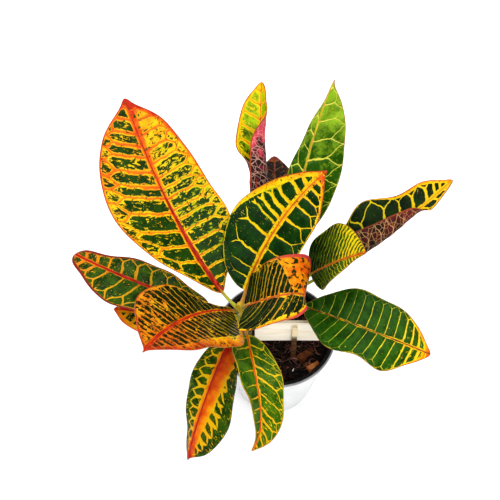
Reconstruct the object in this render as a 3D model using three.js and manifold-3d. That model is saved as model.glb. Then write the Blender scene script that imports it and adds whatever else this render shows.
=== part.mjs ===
// A croton with two stems in a nursery pot, with a bare wooden plant label.
// Millimetres, +Z up, origin in the middle of the pot's underside, +X right and -Y to the front.
import * as THREE from "three";
import Module from "manifold-3d";

const wasm = await Module();
wasm.setup();
const DEG = Math.PI / 180;

// ---- sizes that drive the part (mm and degrees) ----
const GAP = 0.3; // air between two pieces that touch on the real thing
const RIM_R = 60; // outer radius of the nursery pot's rim
const RIM_Z = 100; // height of the rim
const RIM_T = 2; // thickness of the rolled rim
const POT_TOP_R = 58.8; // outer radius of the white pot under the rim
const POT_FOOT_R = 39; // outer radius of the white pot at the floor
const POT_WALL = 1.7;
const POT_FLOOR = 3;
const LINER_TOP_R = 56; // outer radius of the black pot under its rim
const LINER_FOOT_R = 36;
const LINER_FOOT_Z = 6;
const LINER_WALL = 1.2;
const SOIL_Z = 90; // mean height of the soil
const SOIL_BUMP = 1.6;
const SIDES = 48; // facets round the pot
const BLADE_T = 0.8; // thickness of a leaf blade
const RIB_T = 1.5; // extra depth of the midrib below a blade
const PETIOLE_R = 1.9;
const STEM_FLOOR_Z = 48; // how deep the stems stand in the soil

// Stems: points of the axis and the radius at each.
const STEMS = {
  left: {
    axis: [[-23, -11, STEM_FLOOR_Z], [-24, -12, 85], [-28, -14, 125], [-32, -18, 160], [-35, -21, 187]],
    radius: [4.8, 4.6, 4.2, 3.7, 3.2],
  },
  middle: {
    axis: [[4, 5, STEM_FLOOR_Z], [4, 4, 85], [5, 3, 125], [6, 1, 160], [6, 0, 186]],
    radius: [5, 4.8, 4.4, 3.9, 3.3],
  },
};

// Leaves. z is where the stalk leaves its stem, az the compass angle of the midrib at stalk and tip
// (0 right, 90 back), el its slope there, turn and bend how late these two change, stalk and blade the
// lengths, left and right seven half widths from base to tip, roll turns the blade round its midrib,
// fold lifts each half, curl bends each half on towards its edge (angle at base, at tip, and where
// along the blade it changes), cup folds the base up, wave ripples the edges.
const LEAVES = {
  leaf_a: { stem: "left", z: 179, az: [210, 113], turn: 0.15, el: [38, 30], stalk: 25, blade: 198,
    left: [8, 20, 39, 52, 48, 32, 8], right: [10, 32, 45, 42, 36, 26, 7],
    roll: [-2, -8], fold: [10, 5], wave: 2, waves: 3 },
  leaf_b: { stem: "left", z: 181, az: [69, 29], el: [46, 30], stalk: 18, blade: 134,
    left: [14, 29, 39, 41, 30, 16, 4], right: [14, 26, 31, 31, 29, 17, 4],
    roll: [6, 12], fold: [11, 3], wave: 1.5, waves: 3 },
  leaf_c: { stem: "left", z: 174, az: [202, 244.5], el: [43.5, 15.5], stalk: 12, blade: 122,
    left: [29, 42, 41, 37, 33, 16, 3], right: [3, 5, 15, 34, 39, 20, 2.5],
    roll: [-8, -2], fold: [0, 16], cup: 8, wave: 2, waves: 2 },
  leaf_d: { stem: "left", z: 184, az: [-27, 29], el: [48, -112], bend: 2.8, stalk: 9, blade: 74,
    left: [16, 25, 29, 33, 35, 36, 24], right: [26, 29, 27, 25, 22, 15, 7],
    roll: [0, 15], fold: [25, 0], cup: 2, wave: 1, waves: 2 },
  leaf_e: { stem: "middle", z: 172, az: [22, -28], el: [44.6, 46.4], stalk: 36, blade: 67,
    left: [12, 25, 32, 36, 30, 16, 6], right: [8, 20, 28, 25, 14, 7.5, 3],
    roll: [4, 4], fold: [18, 12], cup: 0, wave: 1.5, waves: 2 },
  leaf_f: { stem: "middle", z: 168, az: [15, 38], el: [28, 20], stalk: 36, blade: 156,
    left: [11, 21, 28, 37, 22, 18, 6], right: [9, 28, 40, 34, 16, 8, 3],
    roll: [-2, 12], fold: [18, 22], curl: [[0, 0, 0, 1], [162, 15, 0.68, 0.8]], cup: 0, wave: 2, waves: 3 },
  leaf_g: { stem: "middle", z: 183, az: [82, 65], el: [48, 26], stalk: 42, blade: 158,
    left: [6, 12, 16, 16, 11, 4, 1.5], right: [9, 22, 32, 35, 32, 20, 4],
    roll: [0, -40], fold: [-10, -5], wave: 1.5, waves: 3 },
  leaf_h: { stem: "middle", z: 174, az: [194, 87], turn: 0.1, el: [32, 30], stalk: 50, blade: 154,
    left: [12, 22, 33, 27, 23, 17, 6], right: [12, 28, 36, 33, 24, 11, 5],
    roll: [0, 0], fold: [2, 33], curl: [[150, 25, 0.4, 0.64], [172, 50, 0.6, 0.86]], cup: 0, wave: 1, waves: 2 },
  leaf_i: { stem: "middle", z: 166, az: [96, 90], el: [20, 10], stalk: 27, blade: 120,
    left: [7, 16, 24, 27, 24, 16, 6], right: [7, 16, 24, 27, 24, 16, 6],
    roll: [0, 0], fold: [5, 5], wave: 1.5, waves: 2 },
  leaf_j: { stem: "left", z: 158, az: [166, 145], el: [8, -10], stalk: 34, blade: 151,
    left: [9, 20, 33, 37, 31, 18, 10], right: [8, 15, 23, 28, 22, 15, 10],
    roll: [10, 5], fold: [5, -3], wave: 2, waves: 3 },
  leaf_k: { stem: "left", z: 149, az: [173, 164], el: [-1, -14], stalk: 24, blade: 108,
    left: [8, 18, 25, 26, 23, 15, 5], right: [7, 15, 20, 22, 20, 11, 4],
    roll: [0, 0], fold: [2, 5], wave: 1.5, waves: 3 },
  leaf_l: { stem: "left", z: 167, az: [242, 247], el: [-14, -58], stalk: 24, blade: 127,
    left: [7, 15, 23, 29, 30, 20, 4], right: [7, 16, 21, 22, 15, 10, 3],
    roll: [-10, 35], fold: [-8, -8], wave: 2, waves: 3 },
  leaf_m: { stem: "left", z: 162, az: [280, 232], turn: 6, el: [8, -6], stalk: 22, blade: 116,
    left: [7, 15, 22, 24, 22, 15, 4], right: [10, 20, 21, 19, 14, 6, 2],
    roll: [0, -50], fold: [12, 20], wave: 1.5, waves: 3 },
  leaf_n: { stem: "middle", z: 162, az: [-30, -17], el: [15, -16], stalk: 20, blade: 128,
    left: [5, 18, 33, 33.5, 30.5, 20, 6.5], right: [7, 20, 35, 29, 35, 19, 7],
    roll: [0, 12], fold: [6, 5], wave: 1.5, waves: 3 },
};

// Wooden label: a board on a stake, pushed into the soil in front of the middle stem.
const BOARD_W = 76;
const BOARD_H = 33;
const BOARD_T = 3.5;
const BOARD_Z = 122; // lower edge
const LABEL_X = 17;
const LABEL_Y = -19.5; // middle of the board's thickness
const STAKE_W = 5;
const STAKE_T = 2.6;
const STAKE_FOOT_Z = 45;
const STAKE_TOP_Z = 151;

const group = new THREE.Group();

function add(name, geometry, color, roughness) {
  const mesh = new THREE.Mesh(geometry, new THREE.MeshStandardMaterial({ color, roughness }));
  mesh.name = name;
  group.add(mesh);
}

// A small seeded random source, so that every run makes the same soil.
function seeded(seed) {
  let s = seed;
  return () => {
    s = (s * 1664525 + 1013904223) % 4294967296;
    return s / 4294967296;
  };
}

const lerp = (a, b, t) => a + (b - a) * t;
const clamp = (x, a, b) => Math.min(b, Math.max(a, x));

// A closed solid from rings with the same number of points; the two end rings are capped by a fan.
function ringSolid(rings) {
  const n = rings[0].length;
  const pos = rings.flat(2);
  const tri = [];
  const at = (i, j) => i * n + (j % n);
  for (let i = 0; i + 1 < rings.length; i++)
    for (let j = 0; j < n; j++)
      tri.push(at(i, j), at(i + 1, j), at(i + 1, j + 1), at(i, j), at(i + 1, j + 1), at(i, j + 1));
  const cap = (i, flip) => {
    const c = pos.length / 3;
    const mid = [0, 1, 2].map((k) => rings[i].reduce((s, p) => s + p[k], 0) / n);
    pos.push(...mid);
    for (let j = 0; j < n; j++)
      tri.push(...(flip ? [c, at(i, j + 1), at(i, j)] : [c, at(i, j), at(i, j + 1)]));
  };
  cap(0, false);
  cap(rings.length - 1, true);
  const solid = new wasm.Manifold(
    new wasm.Mesh({ numProp: 3, vertProperties: new Float32Array(pos), triVerts: new Uint32Array(tri) }),
  );
  return solid;
}

// The same rings wound the other way when the first try came out inside out.
function solidFromRings(rings) {
  const first = ringSolid(rings);
  return first.volume() > 0 ? first : ringSolid(rings.map((r) => [...r].reverse()));
}

function toGeometry(solid) {
  const m = solid.getMesh();
  const g = new THREE.BufferGeometry();
  const p = new Float32Array(m.numVert * 3);
  for (let i = 0; i < m.numVert; i++) for (let k = 0; k < 3; k++) p[3 * i + k] = m.vertProperties[i * m.numProp + k];
  g.setAttribute("position", new THREE.BufferAttribute(p, 3));
  g.setIndex(new THREE.BufferAttribute(new Uint32Array(m.triVerts), 1));
  g.computeVertexNormals();
  return g;
}

// A turned body round Z; the profile closes on itself or starts and ends on the axis.
function lathe(profile) {
  const g = new THREE.LatheGeometry(profile.map(([r, z]) => new THREE.Vector2(r, z)), SIDES);
  g.rotateX(Math.PI / 2);
  return g;
}

// A bent round rod through the given points, grown by extra where it is used to cut a hole.
function rod(axis, radius, extra, sides = 10) {
  const steps = 14;
  const curve = new THREE.CatmullRomCurve3(axis.map((p) => new THREE.Vector3(...p)));
  const rings = [];
  for (let i = 0; i <= steps; i++) {
    const t = i / steps;
    const c = curve.getPoint(t);
    const dir = curve.getTangent(t);
    const u = new THREE.Vector3(1, 0, 0).addScaledVector(dir, -dir.x).normalize();
    const v = new THREE.Vector3().crossVectors(dir, u);
    const k = t * (radius.length - 1);
    const a = Math.min(Math.floor(k), radius.length - 2);
    // leaf scars: every other ring stands out a little
    const r = lerp(radius[a], radius[a + 1], k - a) * (i % 2 ? 1.07 : 1) + extra;
    rings.push([...Array(sides).keys()].map((j) => {
      const w = (2 * Math.PI * j) / sides;
      const p = c.clone().addScaledVector(u, r * Math.cos(w)).addScaledVector(v, r * Math.sin(w));
      return [p.x, p.y, p.z];
    }));
  }
  // rounded growing tip
  const top = curve.getPoint(1);
  const dir = curve.getTangent(1);
  const last = rings[rings.length - 1];
  for (const [k, up] of [[0.85, 2.5], [0.55, 4.5], [0.2, 6]])
    rings.push(last.map((p) => [0, 1, 2].map((i) => {
      const c = top.getComponent(i);
      return c + (p[i] - c) * k + dir.getComponent(i) * (up + extra);
    })));
  return rings;
}

function stemPoint(name, z) {
  const { axis, radius } = STEMS[name];
  const i = clamp(axis.findIndex((p) => p[2] >= z) - 1, 0, axis.length - 2);
  const t = (z - axis[i][2]) / (axis[i + 1][2] - axis[i][2]);
  return [lerp(axis[i][0], axis[i + 1][0], t), lerp(axis[i][1], axis[i + 1][1], t), z,
    lerp(radius[i], radius[i + 1], t)];
}

// Half width at t along a blade: a smooth curve through the seven values, which lie closer together at
// base and tip, and 0 at both ends.
function halfWidth(widths, t) {
  const knots = [-widths[0], 0, ...widths, 0, -widths[6]];
  const k = (8 * Math.acos(clamp(1 - 2 * t, -1, 1))) / Math.PI + 1;
  const i = Math.min(Math.floor(k), 8);
  const f = k - i;
  const [a, b, c, d] = knots.slice(i - 1, i + 3);
  return 0.5 * (2 * b + (c - a) * f + (2 * a - 5 * b + 4 * c - d) * f ** 2 + (3 * b - a - 3 * c + d) * f ** 3);
}

// One leaf: a round stalk that flattens into a thin blade with a raised midrib underneath.
function leafRings(spec) {
  const { az, el, stalk, blade, roll, fold, wave, waves } = spec;
  const bend = spec.bend ?? 1;
  const turn = spec.turn ?? 1;
  const curl = spec.curl ?? [[0, 0, 0, 1], [0, 0, 0, 1]];
  const cup = spec.cup ?? 14;
  const total = stalk + blade;
  const [sx, sy, sz] = stemPoint(spec.stem, spec.z);
  // walk along the midrib in small steps
  const n = 160;
  const walk = [];
  let p = new THREE.Vector3(sx, sy, sz);
  for (let i = 0; i <= n; i++) {
    const s = i / n;
    const A = lerp(az[0], az[1], s ** turn) * DEG;
    const E = (el[0] + (el[1] - el[0]) * s ** bend) * DEG;
    const dir = new THREE.Vector3(Math.cos(A) * Math.cos(E), Math.sin(A) * Math.cos(E), Math.sin(E));
    const side = new THREE.Vector3(-Math.sin(A), Math.cos(A), 0);
    walk.push({ p: p.clone(), dir, side, up: new THREE.Vector3().crossVectors(dir, side) });
    p = p.addScaledVector(dir, total / n);
  }
  const frame = (d) => walk[Math.round(clamp(d / total, 0, 1) * n)];
  const half = curl[0][0] > 90 || curl[1][0] > 90 ? [0.07, 0.25, 0.45, 0.64, 0.82, 1] : [0.08, 0.36, 0.68, 1];
  const cols = [...half.map((x) => -x).reverse(), 0, ...half];
  const rings = [];
  // stalk: rings of the same points, laid round a circle
  for (const q of [0, 0.35, 0.7, 0.93]) {
    const f = frame(q * stalk);
    const r = PETIOLE_R * (1 - 0.25 * q);
    const point = (v, s) => f.p.clone().addScaledVector(f.side, v * r)
      .addScaledVector(f.up, s * r * Math.sqrt(1 - (0.94 * v) ** 2)).toArray();
    rings.push([...cols.map((v) => point(v, 1)), ...[...cols].reverse().map((v) => point(v, -1))]);
  }
  // blade: the middle surface first
  const steps = 16;
  const mid = [];
  for (let i = 0; i <= steps; i++) {
    const t = i / steps - (0.5 * Math.sin((2 * Math.PI * i) / steps)) / (2 * Math.PI); // closer at both ends
    const f = frame(stalk + t * blade);
    const R = lerp(roll[0], roll[1], t) * DEG;
    const S = f.side.clone().multiplyScalar(Math.cos(R)).addScaledVector(f.up, Math.sin(R));
    const N = f.up.clone().multiplyScalar(Math.cos(R)).addScaledVector(f.side, -Math.sin(R));
    mid.push(cols.map((v) => {
      const k = v >= 0 ? 0 : 1;
      const sg = v >= 0 ? 1 : -1;
      const av = Math.abs(v);
      const w = Math.max(1.2, halfWidth(k ? spec.right : spec.left, t));
      const a0 = (fold[k] + cup * (1 - t) ** 3) * DEG;
      const [atBase, atTip, from, to] = curl[k];
      const q = clamp((t - from) / (to - from), 0, 1);
      const c = lerp(atBase, atTip, q * q * (3 - 2 * q)) * Math.min(w / 10, 1) * DEG + 1e-6;
      const x = (w * (Math.sin(a0 + c * av) - Math.sin(a0))) / c;
      const ripple = wave * av * av * Math.sin(2 * Math.PI * waves * t + (k ? 2 : 0)) * Math.sin(Math.PI * t);
      const z = (w * (Math.cos(a0) - Math.cos(a0 + c * av))) / c + ripple;
      return f.p.clone().addScaledVector(S, sg * x).addScaledVector(N, z);
    }));
  }
  // then both faces, half the thickness off it along its own normals
  for (let i = 0; i <= steps; i++) {
    const t = i / steps;
    const top = [];
    const low = [];
    cols.forEach((v, j) => {
      const a = mid[Math.min(i + 1, steps)][j].clone().sub(mid[Math.max(i - 1, 0)][j]);
      const b = mid[i][Math.min(j + 1, cols.length - 1)].clone().sub(mid[i][Math.max(j - 1, 0)]);
      const nrm = a.cross(b).normalize();
      const rib = v === 0 ? RIB_T * (1 - 0.8 * t) : 0;
      top.push(mid[i][j].clone().addScaledVector(nrm, BLADE_T / 2).toArray());
      low.push(mid[i][j].clone().addScaledVector(nrm, -BLADE_T / 2 - rib).toArray());
    });
    rings.push([...top, ...low.reverse()]);
  }
  return rings;
}

// The two pots: black nursery pot with a rolled rim, standing in a white one.
function makePots() {
  const top = RIM_Z - RIM_T - GAP;
  add("pot", lathe([[0, 0], [POT_FOOT_R - 1.5, 0], [POT_FOOT_R, 1.5], [POT_TOP_R - 0.4, top - 9],
    [POT_TOP_R, top - 8.4], [POT_TOP_R, top], [POT_TOP_R - POT_WALL, top],
    [POT_FOOT_R - POT_WALL + 0.2, POT_FLOOR], [0, POT_FLOOR]]), 0xf2f2ef, 0.5);
  const z1 = RIM_Z - RIM_T;
  add("nursery_pot", lathe([[0, LINER_FOOT_Z], [LINER_FOOT_R, LINER_FOOT_Z], [LINER_TOP_R, z1],
    [RIM_R - 0.5, z1], [RIM_R, z1 + 0.5], [RIM_R, RIM_Z - 0.6], [RIM_R - 0.6, RIM_Z],
    [LINER_TOP_R - LINER_WALL + 0.6, RIM_Z], [LINER_TOP_R - LINER_WALL, RIM_Z - 0.8],
    [LINER_FOOT_R - LINER_WALL, LINER_FOOT_Z + LINER_WALL], [0, LINER_FOOT_Z + LINER_WALL]]), 0x17171a, 0.5);
}

// Bark soil: a lumpy top, chips sunk into it by a seeded rule, and plain holes for stems and stake.
function makeSoil() {
  const rand = seeded(11);
  const inner = (z) => lerp(LINER_FOOT_R, LINER_TOP_R, (z - LINER_FOOT_Z) / (RIM_Z - RIM_T - LINER_FOOT_Z)) -
    LINER_WALL - GAP * 1.4;
  const foot = LINER_FOOT_Z + LINER_WALL + GAP;
  const rings = [[foot, inner(foot) - 0.4], [SOIL_Z - 1, inner(SOIL_Z - 1)]].map(([z, r]) =>
    [...Array(40).keys()].map((j) => [r * Math.cos((j * Math.PI) / 20), r * Math.sin((j * Math.PI) / 20), z]));
  for (const k of [0.93, 0.78, 0.62, 0.46, 0.3, 0.14])
    rings.push([...Array(40).keys()].map((j) => {
      const r = inner(SOIL_Z) * k;
      return [r * Math.cos((j * Math.PI) / 20), r * Math.sin((j * Math.PI) / 20),
        SOIL_Z + SOIL_BUMP * (2 * rand() - 1) + (1 - k) * 1.5];
    }));
  let soil = solidFromRings(rings);
  const chip = (x, y, size, turn, tilt) => {
    const w = size * (0.35 + 0.25 * rand());
    const h = size * 0.22 + 1;
    const c = new THREE.BoxGeometry(size, w, h);
    const q = c.getAttribute("position");
    for (let i = 0; i < q.count; i++) // taper one end, as split bark is
      if (q.getX(i) > 0) q.setXYZ(i, q.getX(i), q.getY(i) * 0.55, q.getZ(i) * 0.7);
    c.rotateX(tilt).rotateY(tilt * 0.6).rotateZ(turn).translate(x, y, SOIL_Z + 0.8);
    const v = [];
    const ids = new Map();
    const tri = [];
    for (let i = 0; i < c.index.count; i++) {
      const at = c.index.getX(i);
      const p = [q.getX(at), q.getY(at), q.getZ(at)];
      const key = p.map((a) => a.toFixed(3)).join();
      if (!ids.has(key)) {
        ids.set(key, ids.size);
        v.push(...p);
      }
      tri.push(ids.get(key));
    }
    soil = soil.add(new wasm.Manifold(new wasm.Mesh({ numProp: 3, vertProperties: new Float32Array(v),
      triVerts: new Uint32Array(tri) })));
  };
  for (let i = 0; i < 34; i++) {
    const r = 42 * Math.sqrt(rand());
    const a = 2 * Math.PI * rand();
    chip(r * Math.cos(a), r * Math.sin(a), 6 + 9 * rand(), 2 * Math.PI * rand(), 0.5 * (rand() - 0.5));
  }
  chip(29, -20, 18, 2.3, 0.25); // the two large pieces at the front right
  chip(34, -31, 11, 0.84, 0.15);
  for (const { axis, radius } of Object.values(STEMS)) {
    const low = [[axis[0][0], axis[0][1], axis[0][2] - GAP], ...axis.slice(1)];
    soil = soil.subtract(solidFromRings(rod(low, radius, GAP)));
  }
  const hole = new THREE.Vector2(STAKE_W / 2 + GAP, STAKE_T / 2 + GAP);
  const y = stakeY();
  const square = (z) => [[-1, -1], [1, -1], [1, 1], [-1, 1]].map(([a, b]) =>
    [LABEL_X + a * hole.x, y + b * hole.y, z]);
  soil = soil.subtract(solidFromRings([square(STAKE_FOOT_Z - GAP), square(SOIL_Z + 20)]));
  add("soil", toGeometry(soil), 0x2a1a16, 0.95);
}

function makeStems() {
  for (const [name, { axis, radius }] of Object.entries(STEMS))
    add("stem_" + name, toGeometry(solidFromRings(rod(axis, radius, 0))), 0x7d8a3c, 0.6);
}

function makeLeaves() {
  const cutters = {};
  for (const [name, { axis, radius }] of Object.entries(STEMS))
    cutters[name] = solidFromRings(rod(axis, radius, GAP));
  for (const [name, spec] of Object.entries(LEAVES)) {
    const leaf = solidFromRings(leafRings(spec)).subtract(cutters[spec.stem]);
    const parts = leaf.decompose().sort((a, b) => b.volume() - a.volume());
    add(name, toGeometry(parts[0]), 0x4f8a1e, 0.35);
  }
}

const stakeY = () => LABEL_Y - BOARD_T / 2 - GAP - STAKE_T / 2;

function makeLabel() {
  const w = BOARD_W / 2;
  const r = 2;
  const s = new THREE.Shape();
  s.moveTo(-w + r, 0).lineTo(w - r, 0).quadraticCurveTo(w, 0, w, r).lineTo(w, BOARD_H - r)
    .quadraticCurveTo(w, BOARD_H, w - r, BOARD_H).lineTo(-w + r, BOARD_H)
    .quadraticCurveTo(-w, BOARD_H, -w, BOARD_H - r).lineTo(-w, r).quadraticCurveTo(-w, 0, -w + r, 0);
  const board = new THREE.ExtrudeGeometry(s, { depth: BOARD_T, bevelEnabled: false, curveSegments: 4 });
  board.rotateX(Math.PI / 2).translate(LABEL_X, LABEL_Y + BOARD_T / 2, BOARD_Z);
  add("label_board", board, 0xeed9b0, 0.7);
  const k = new THREE.Shape(); // the stake ends in a point
  k.moveTo(-STAKE_W / 2, 12).lineTo(-0.6, 0).lineTo(0.6, 0).lineTo(STAKE_W / 2, 12)
    .lineTo(STAKE_W / 2, STAKE_TOP_Z - STAKE_FOOT_Z).lineTo(-STAKE_W / 2, STAKE_TOP_Z - STAKE_FOOT_Z)
    .lineTo(-STAKE_W / 2, 12);
  const stake = new THREE.ExtrudeGeometry(k, { depth: STAKE_T, bevelEnabled: false });
  stake.rotateX(Math.PI / 2).translate(LABEL_X, stakeY() + STAKE_T / 2, STAKE_FOOT_Z);
  add("label_stake", stake, 0xd9b98a, 0.7);
}

makePots();
makeSoil();
makeStems();
makeLeaves();
makeLabel();

export default group;
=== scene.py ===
# %% [markdown]
# # A potted croton
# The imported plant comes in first. Its solids are plain, and they say where everything is and how large
# it is. This lesson puts a finer piece over each of them: leaves with real side veins, woody stems,
# bark compost, two pots and a wooden label. Blender counts in metres, and the tables below in
# millimetres, because a maker thinks in millimetres.

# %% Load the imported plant
import bpy
import math
import numpy as np
from types import SimpleNamespace
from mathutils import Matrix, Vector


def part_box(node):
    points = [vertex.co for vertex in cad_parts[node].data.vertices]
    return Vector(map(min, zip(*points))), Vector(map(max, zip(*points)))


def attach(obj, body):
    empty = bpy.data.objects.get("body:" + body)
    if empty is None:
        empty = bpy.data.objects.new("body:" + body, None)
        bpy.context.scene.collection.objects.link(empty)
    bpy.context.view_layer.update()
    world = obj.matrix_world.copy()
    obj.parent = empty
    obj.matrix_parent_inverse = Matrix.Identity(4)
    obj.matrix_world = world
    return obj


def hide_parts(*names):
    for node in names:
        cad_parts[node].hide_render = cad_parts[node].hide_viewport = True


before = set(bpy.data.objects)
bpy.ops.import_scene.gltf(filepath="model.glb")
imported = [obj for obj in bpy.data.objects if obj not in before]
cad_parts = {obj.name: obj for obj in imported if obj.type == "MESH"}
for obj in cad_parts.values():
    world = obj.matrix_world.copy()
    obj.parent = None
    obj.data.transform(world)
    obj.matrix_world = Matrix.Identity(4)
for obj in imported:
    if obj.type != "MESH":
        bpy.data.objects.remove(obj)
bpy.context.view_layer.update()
bpy.ops.object.select_all(action="DESELECT")
MM = 0.001

# %% [markdown]
# ## The camera
# The photograph looks steeply down on the plant. The rim of the pot is an ellipse there, and its
# proportions give the angle: 55.5 degrees below the horizon. A 72 mm lens on a 36 mm sensor shows the
# plant at the same size. A camera without any turn looks straight down, so it is turned up by the rest.

# %% Place the camera
CAMERA_AT = (-0.0256, -0.498, 0.9711)
LOOKS_DOWN = 55.5
LENS_MM = 72
SENSOR_MM = 36
bpy.ops.object.camera_add(location=CAMERA_AT, rotation=(math.radians(90 - LOOKS_DOWN), 0, 0))
camera = bpy.context.object
camera.name = "photo_camera"
camera.data.lens = LENS_MM
camera.data.sensor_width = SENSOR_MM
bpy.context.scene.camera = camera
print("camera looks down", LOOKS_DOWN, "degrees")

# %% [markdown]
# ## A few small tools for materials
# Colour charts give sRGB hex values, and the renderer works with linear light, so one function turns
# the first into the second. The next two fill the inputs of a node and add a node with its settings
# and links. Every finish below is a small net of such nodes that ends in one shader, so the last two
# make an empty material and fill its shader. SOFT makes a Map Range node a soft step, which melts one
# tone into another, and COLOUR makes a Mix node mix colours.

# %% Colour and node helpers
SOFT = {"interpolation_type": "SMOOTHSTEP"}
COLOUR = {"data_type": "RGBA"}


def linear(hex_colour):
    """An sRGB hex colour as linear light."""
    channels = [int(hex_colour[i:i + 2], 16) / 255 for i in (1, 3, 5)]
    return [c / 12.92 if c <= 0.04045 else ((c + 0.055) / 1.055) ** 2.4 for c in channels] + [1.0]


def feed(node, inputs):
    """Fills inputs with a value, a hex colour, a socket or the first output of a node."""
    for key, value in inputs.items():
        if isinstance(value, bpy.types.Node):
            value = next(socket for socket in value.outputs if socket.enabled)
        if isinstance(value, bpy.types.NodeSocket):
            node.id_data.links.new(value, node.inputs[key])
        elif value is not None:
            node.inputs[key].default_value = linear(value) if isinstance(value, str) else value


def add(tree, kind, *values, stops=(), **settings):
    """Adds one node with its settings; a kind such as "Math ADD" ends with its operation.
    The values fill its shown inputs in order, and None leaves one out."""
    kind, _, operation = kind.partition(" ")
    node = tree.nodes.new("ShaderNode" + kind)
    if operation:
        node.operation = operation
    for key, value in settings.items():
        setattr(node, key, value)
    for _ in stops[2:]:
        node.color_ramp.elements.new(0.5)
    for i, (place, colour) in enumerate(stops):
        node.color_ramp.elements[i].position = place
        node.color_ramp.elements[i].color = linear(colour)
    shown = [i for i, socket in enumerate(node.inputs) if socket.enabled]
    feed(node, dict(zip(shown, values)))
    return node


def new_finish(name):
    """An empty material: returns it, its node tree and its shader."""
    material = bpy.data.materials.new(name)
    material.use_nodes = True
    return material, material.node_tree, material.node_tree.nodes["Principled BSDF"]


def set_shader(shader, colour, roughness, shine, height, strength, lift_mm):
    """Colour, roughness and shine of a finish, and a relief that is lift_mm high."""
    bump = add(shader.id_data, "Bump", strength, lift_mm * MM, None, height)
    feed(shader, {"Base Color": colour, "Roughness": roughness, "Specular IOR Level": shine, "Normal": bump})


print("material helpers ready")

# %% [markdown]
# ## A few small tools for pieces
# Each piece starts as a primitive, and the same few steps come back for nearly all of them: naming it,
# reading and moving its points, merging doubled points, turning its faces outward and joining parts.
# The last step says what a piece is: it rides on the plant's one body and, in most cases, stands for
# a imported solid.

# %% Piece helpers
def named(name):
    """The piece that was just made, with its name."""
    piece = bpy.context.object
    piece.name = piece.data.name = name
    return piece


def points_of(piece):
    """All points of a piece, in metres."""
    points = np.empty(len(piece.data.vertices) * 3)
    piece.data.vertices.foreach_get("co", points)
    return points.reshape(-1, 3)


def place_points(piece, points_mm):
    piece.data.vertices.foreach_set("co", (points_mm * MM).ravel())
    piece.data.update()


def weld(threshold=0.00001):
    """Goes to edit mode and merges the points that lie on each other."""
    bpy.ops.object.mode_set(mode="EDIT")
    bpy.ops.mesh.select_all(action="SELECT")
    bpy.ops.mesh.remove_doubles(threshold=threshold)


def turn_outward():
    """Turns all faces outward and leaves edit mode."""
    bpy.ops.mesh.select_all(action="SELECT")
    bpy.ops.mesh.normals_make_consistent(inside=False)
    bpy.ops.object.mode_set(mode="OBJECT")


def join(pieces, name):
    """Joins the pieces into the first of them."""
    bpy.ops.object.select_all(action="DESELECT")
    for piece in pieces:
        piece.select_set(True)
    bpy.context.view_layer.objects.active = pieces[0]
    bpy.ops.object.join()
    return named(name)


def settle(piece, node=None):
    """Says what a piece is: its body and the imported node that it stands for."""
    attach(piece, "root")
    if node:
        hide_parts(node)
    return piece


print("piece helpers ready")

# %% [markdown]
# ## How a leaf is described
# A croton leaf is a short stalk that goes on as a midrib, with a thin blade on both sides. Each leaf
# has one line of numbers: where it leaves its stem, the compass angle and slope of the midrib at both
# ends, seven half-widths from base to tip on each side, and how the halves fold, roll and curl. `turn`
# and `bend` say how soon along the midrib angle and slope change: below 1 early, above 1 late. The
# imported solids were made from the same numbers, so a finer leaf lies exactly where the plain one is.

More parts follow.
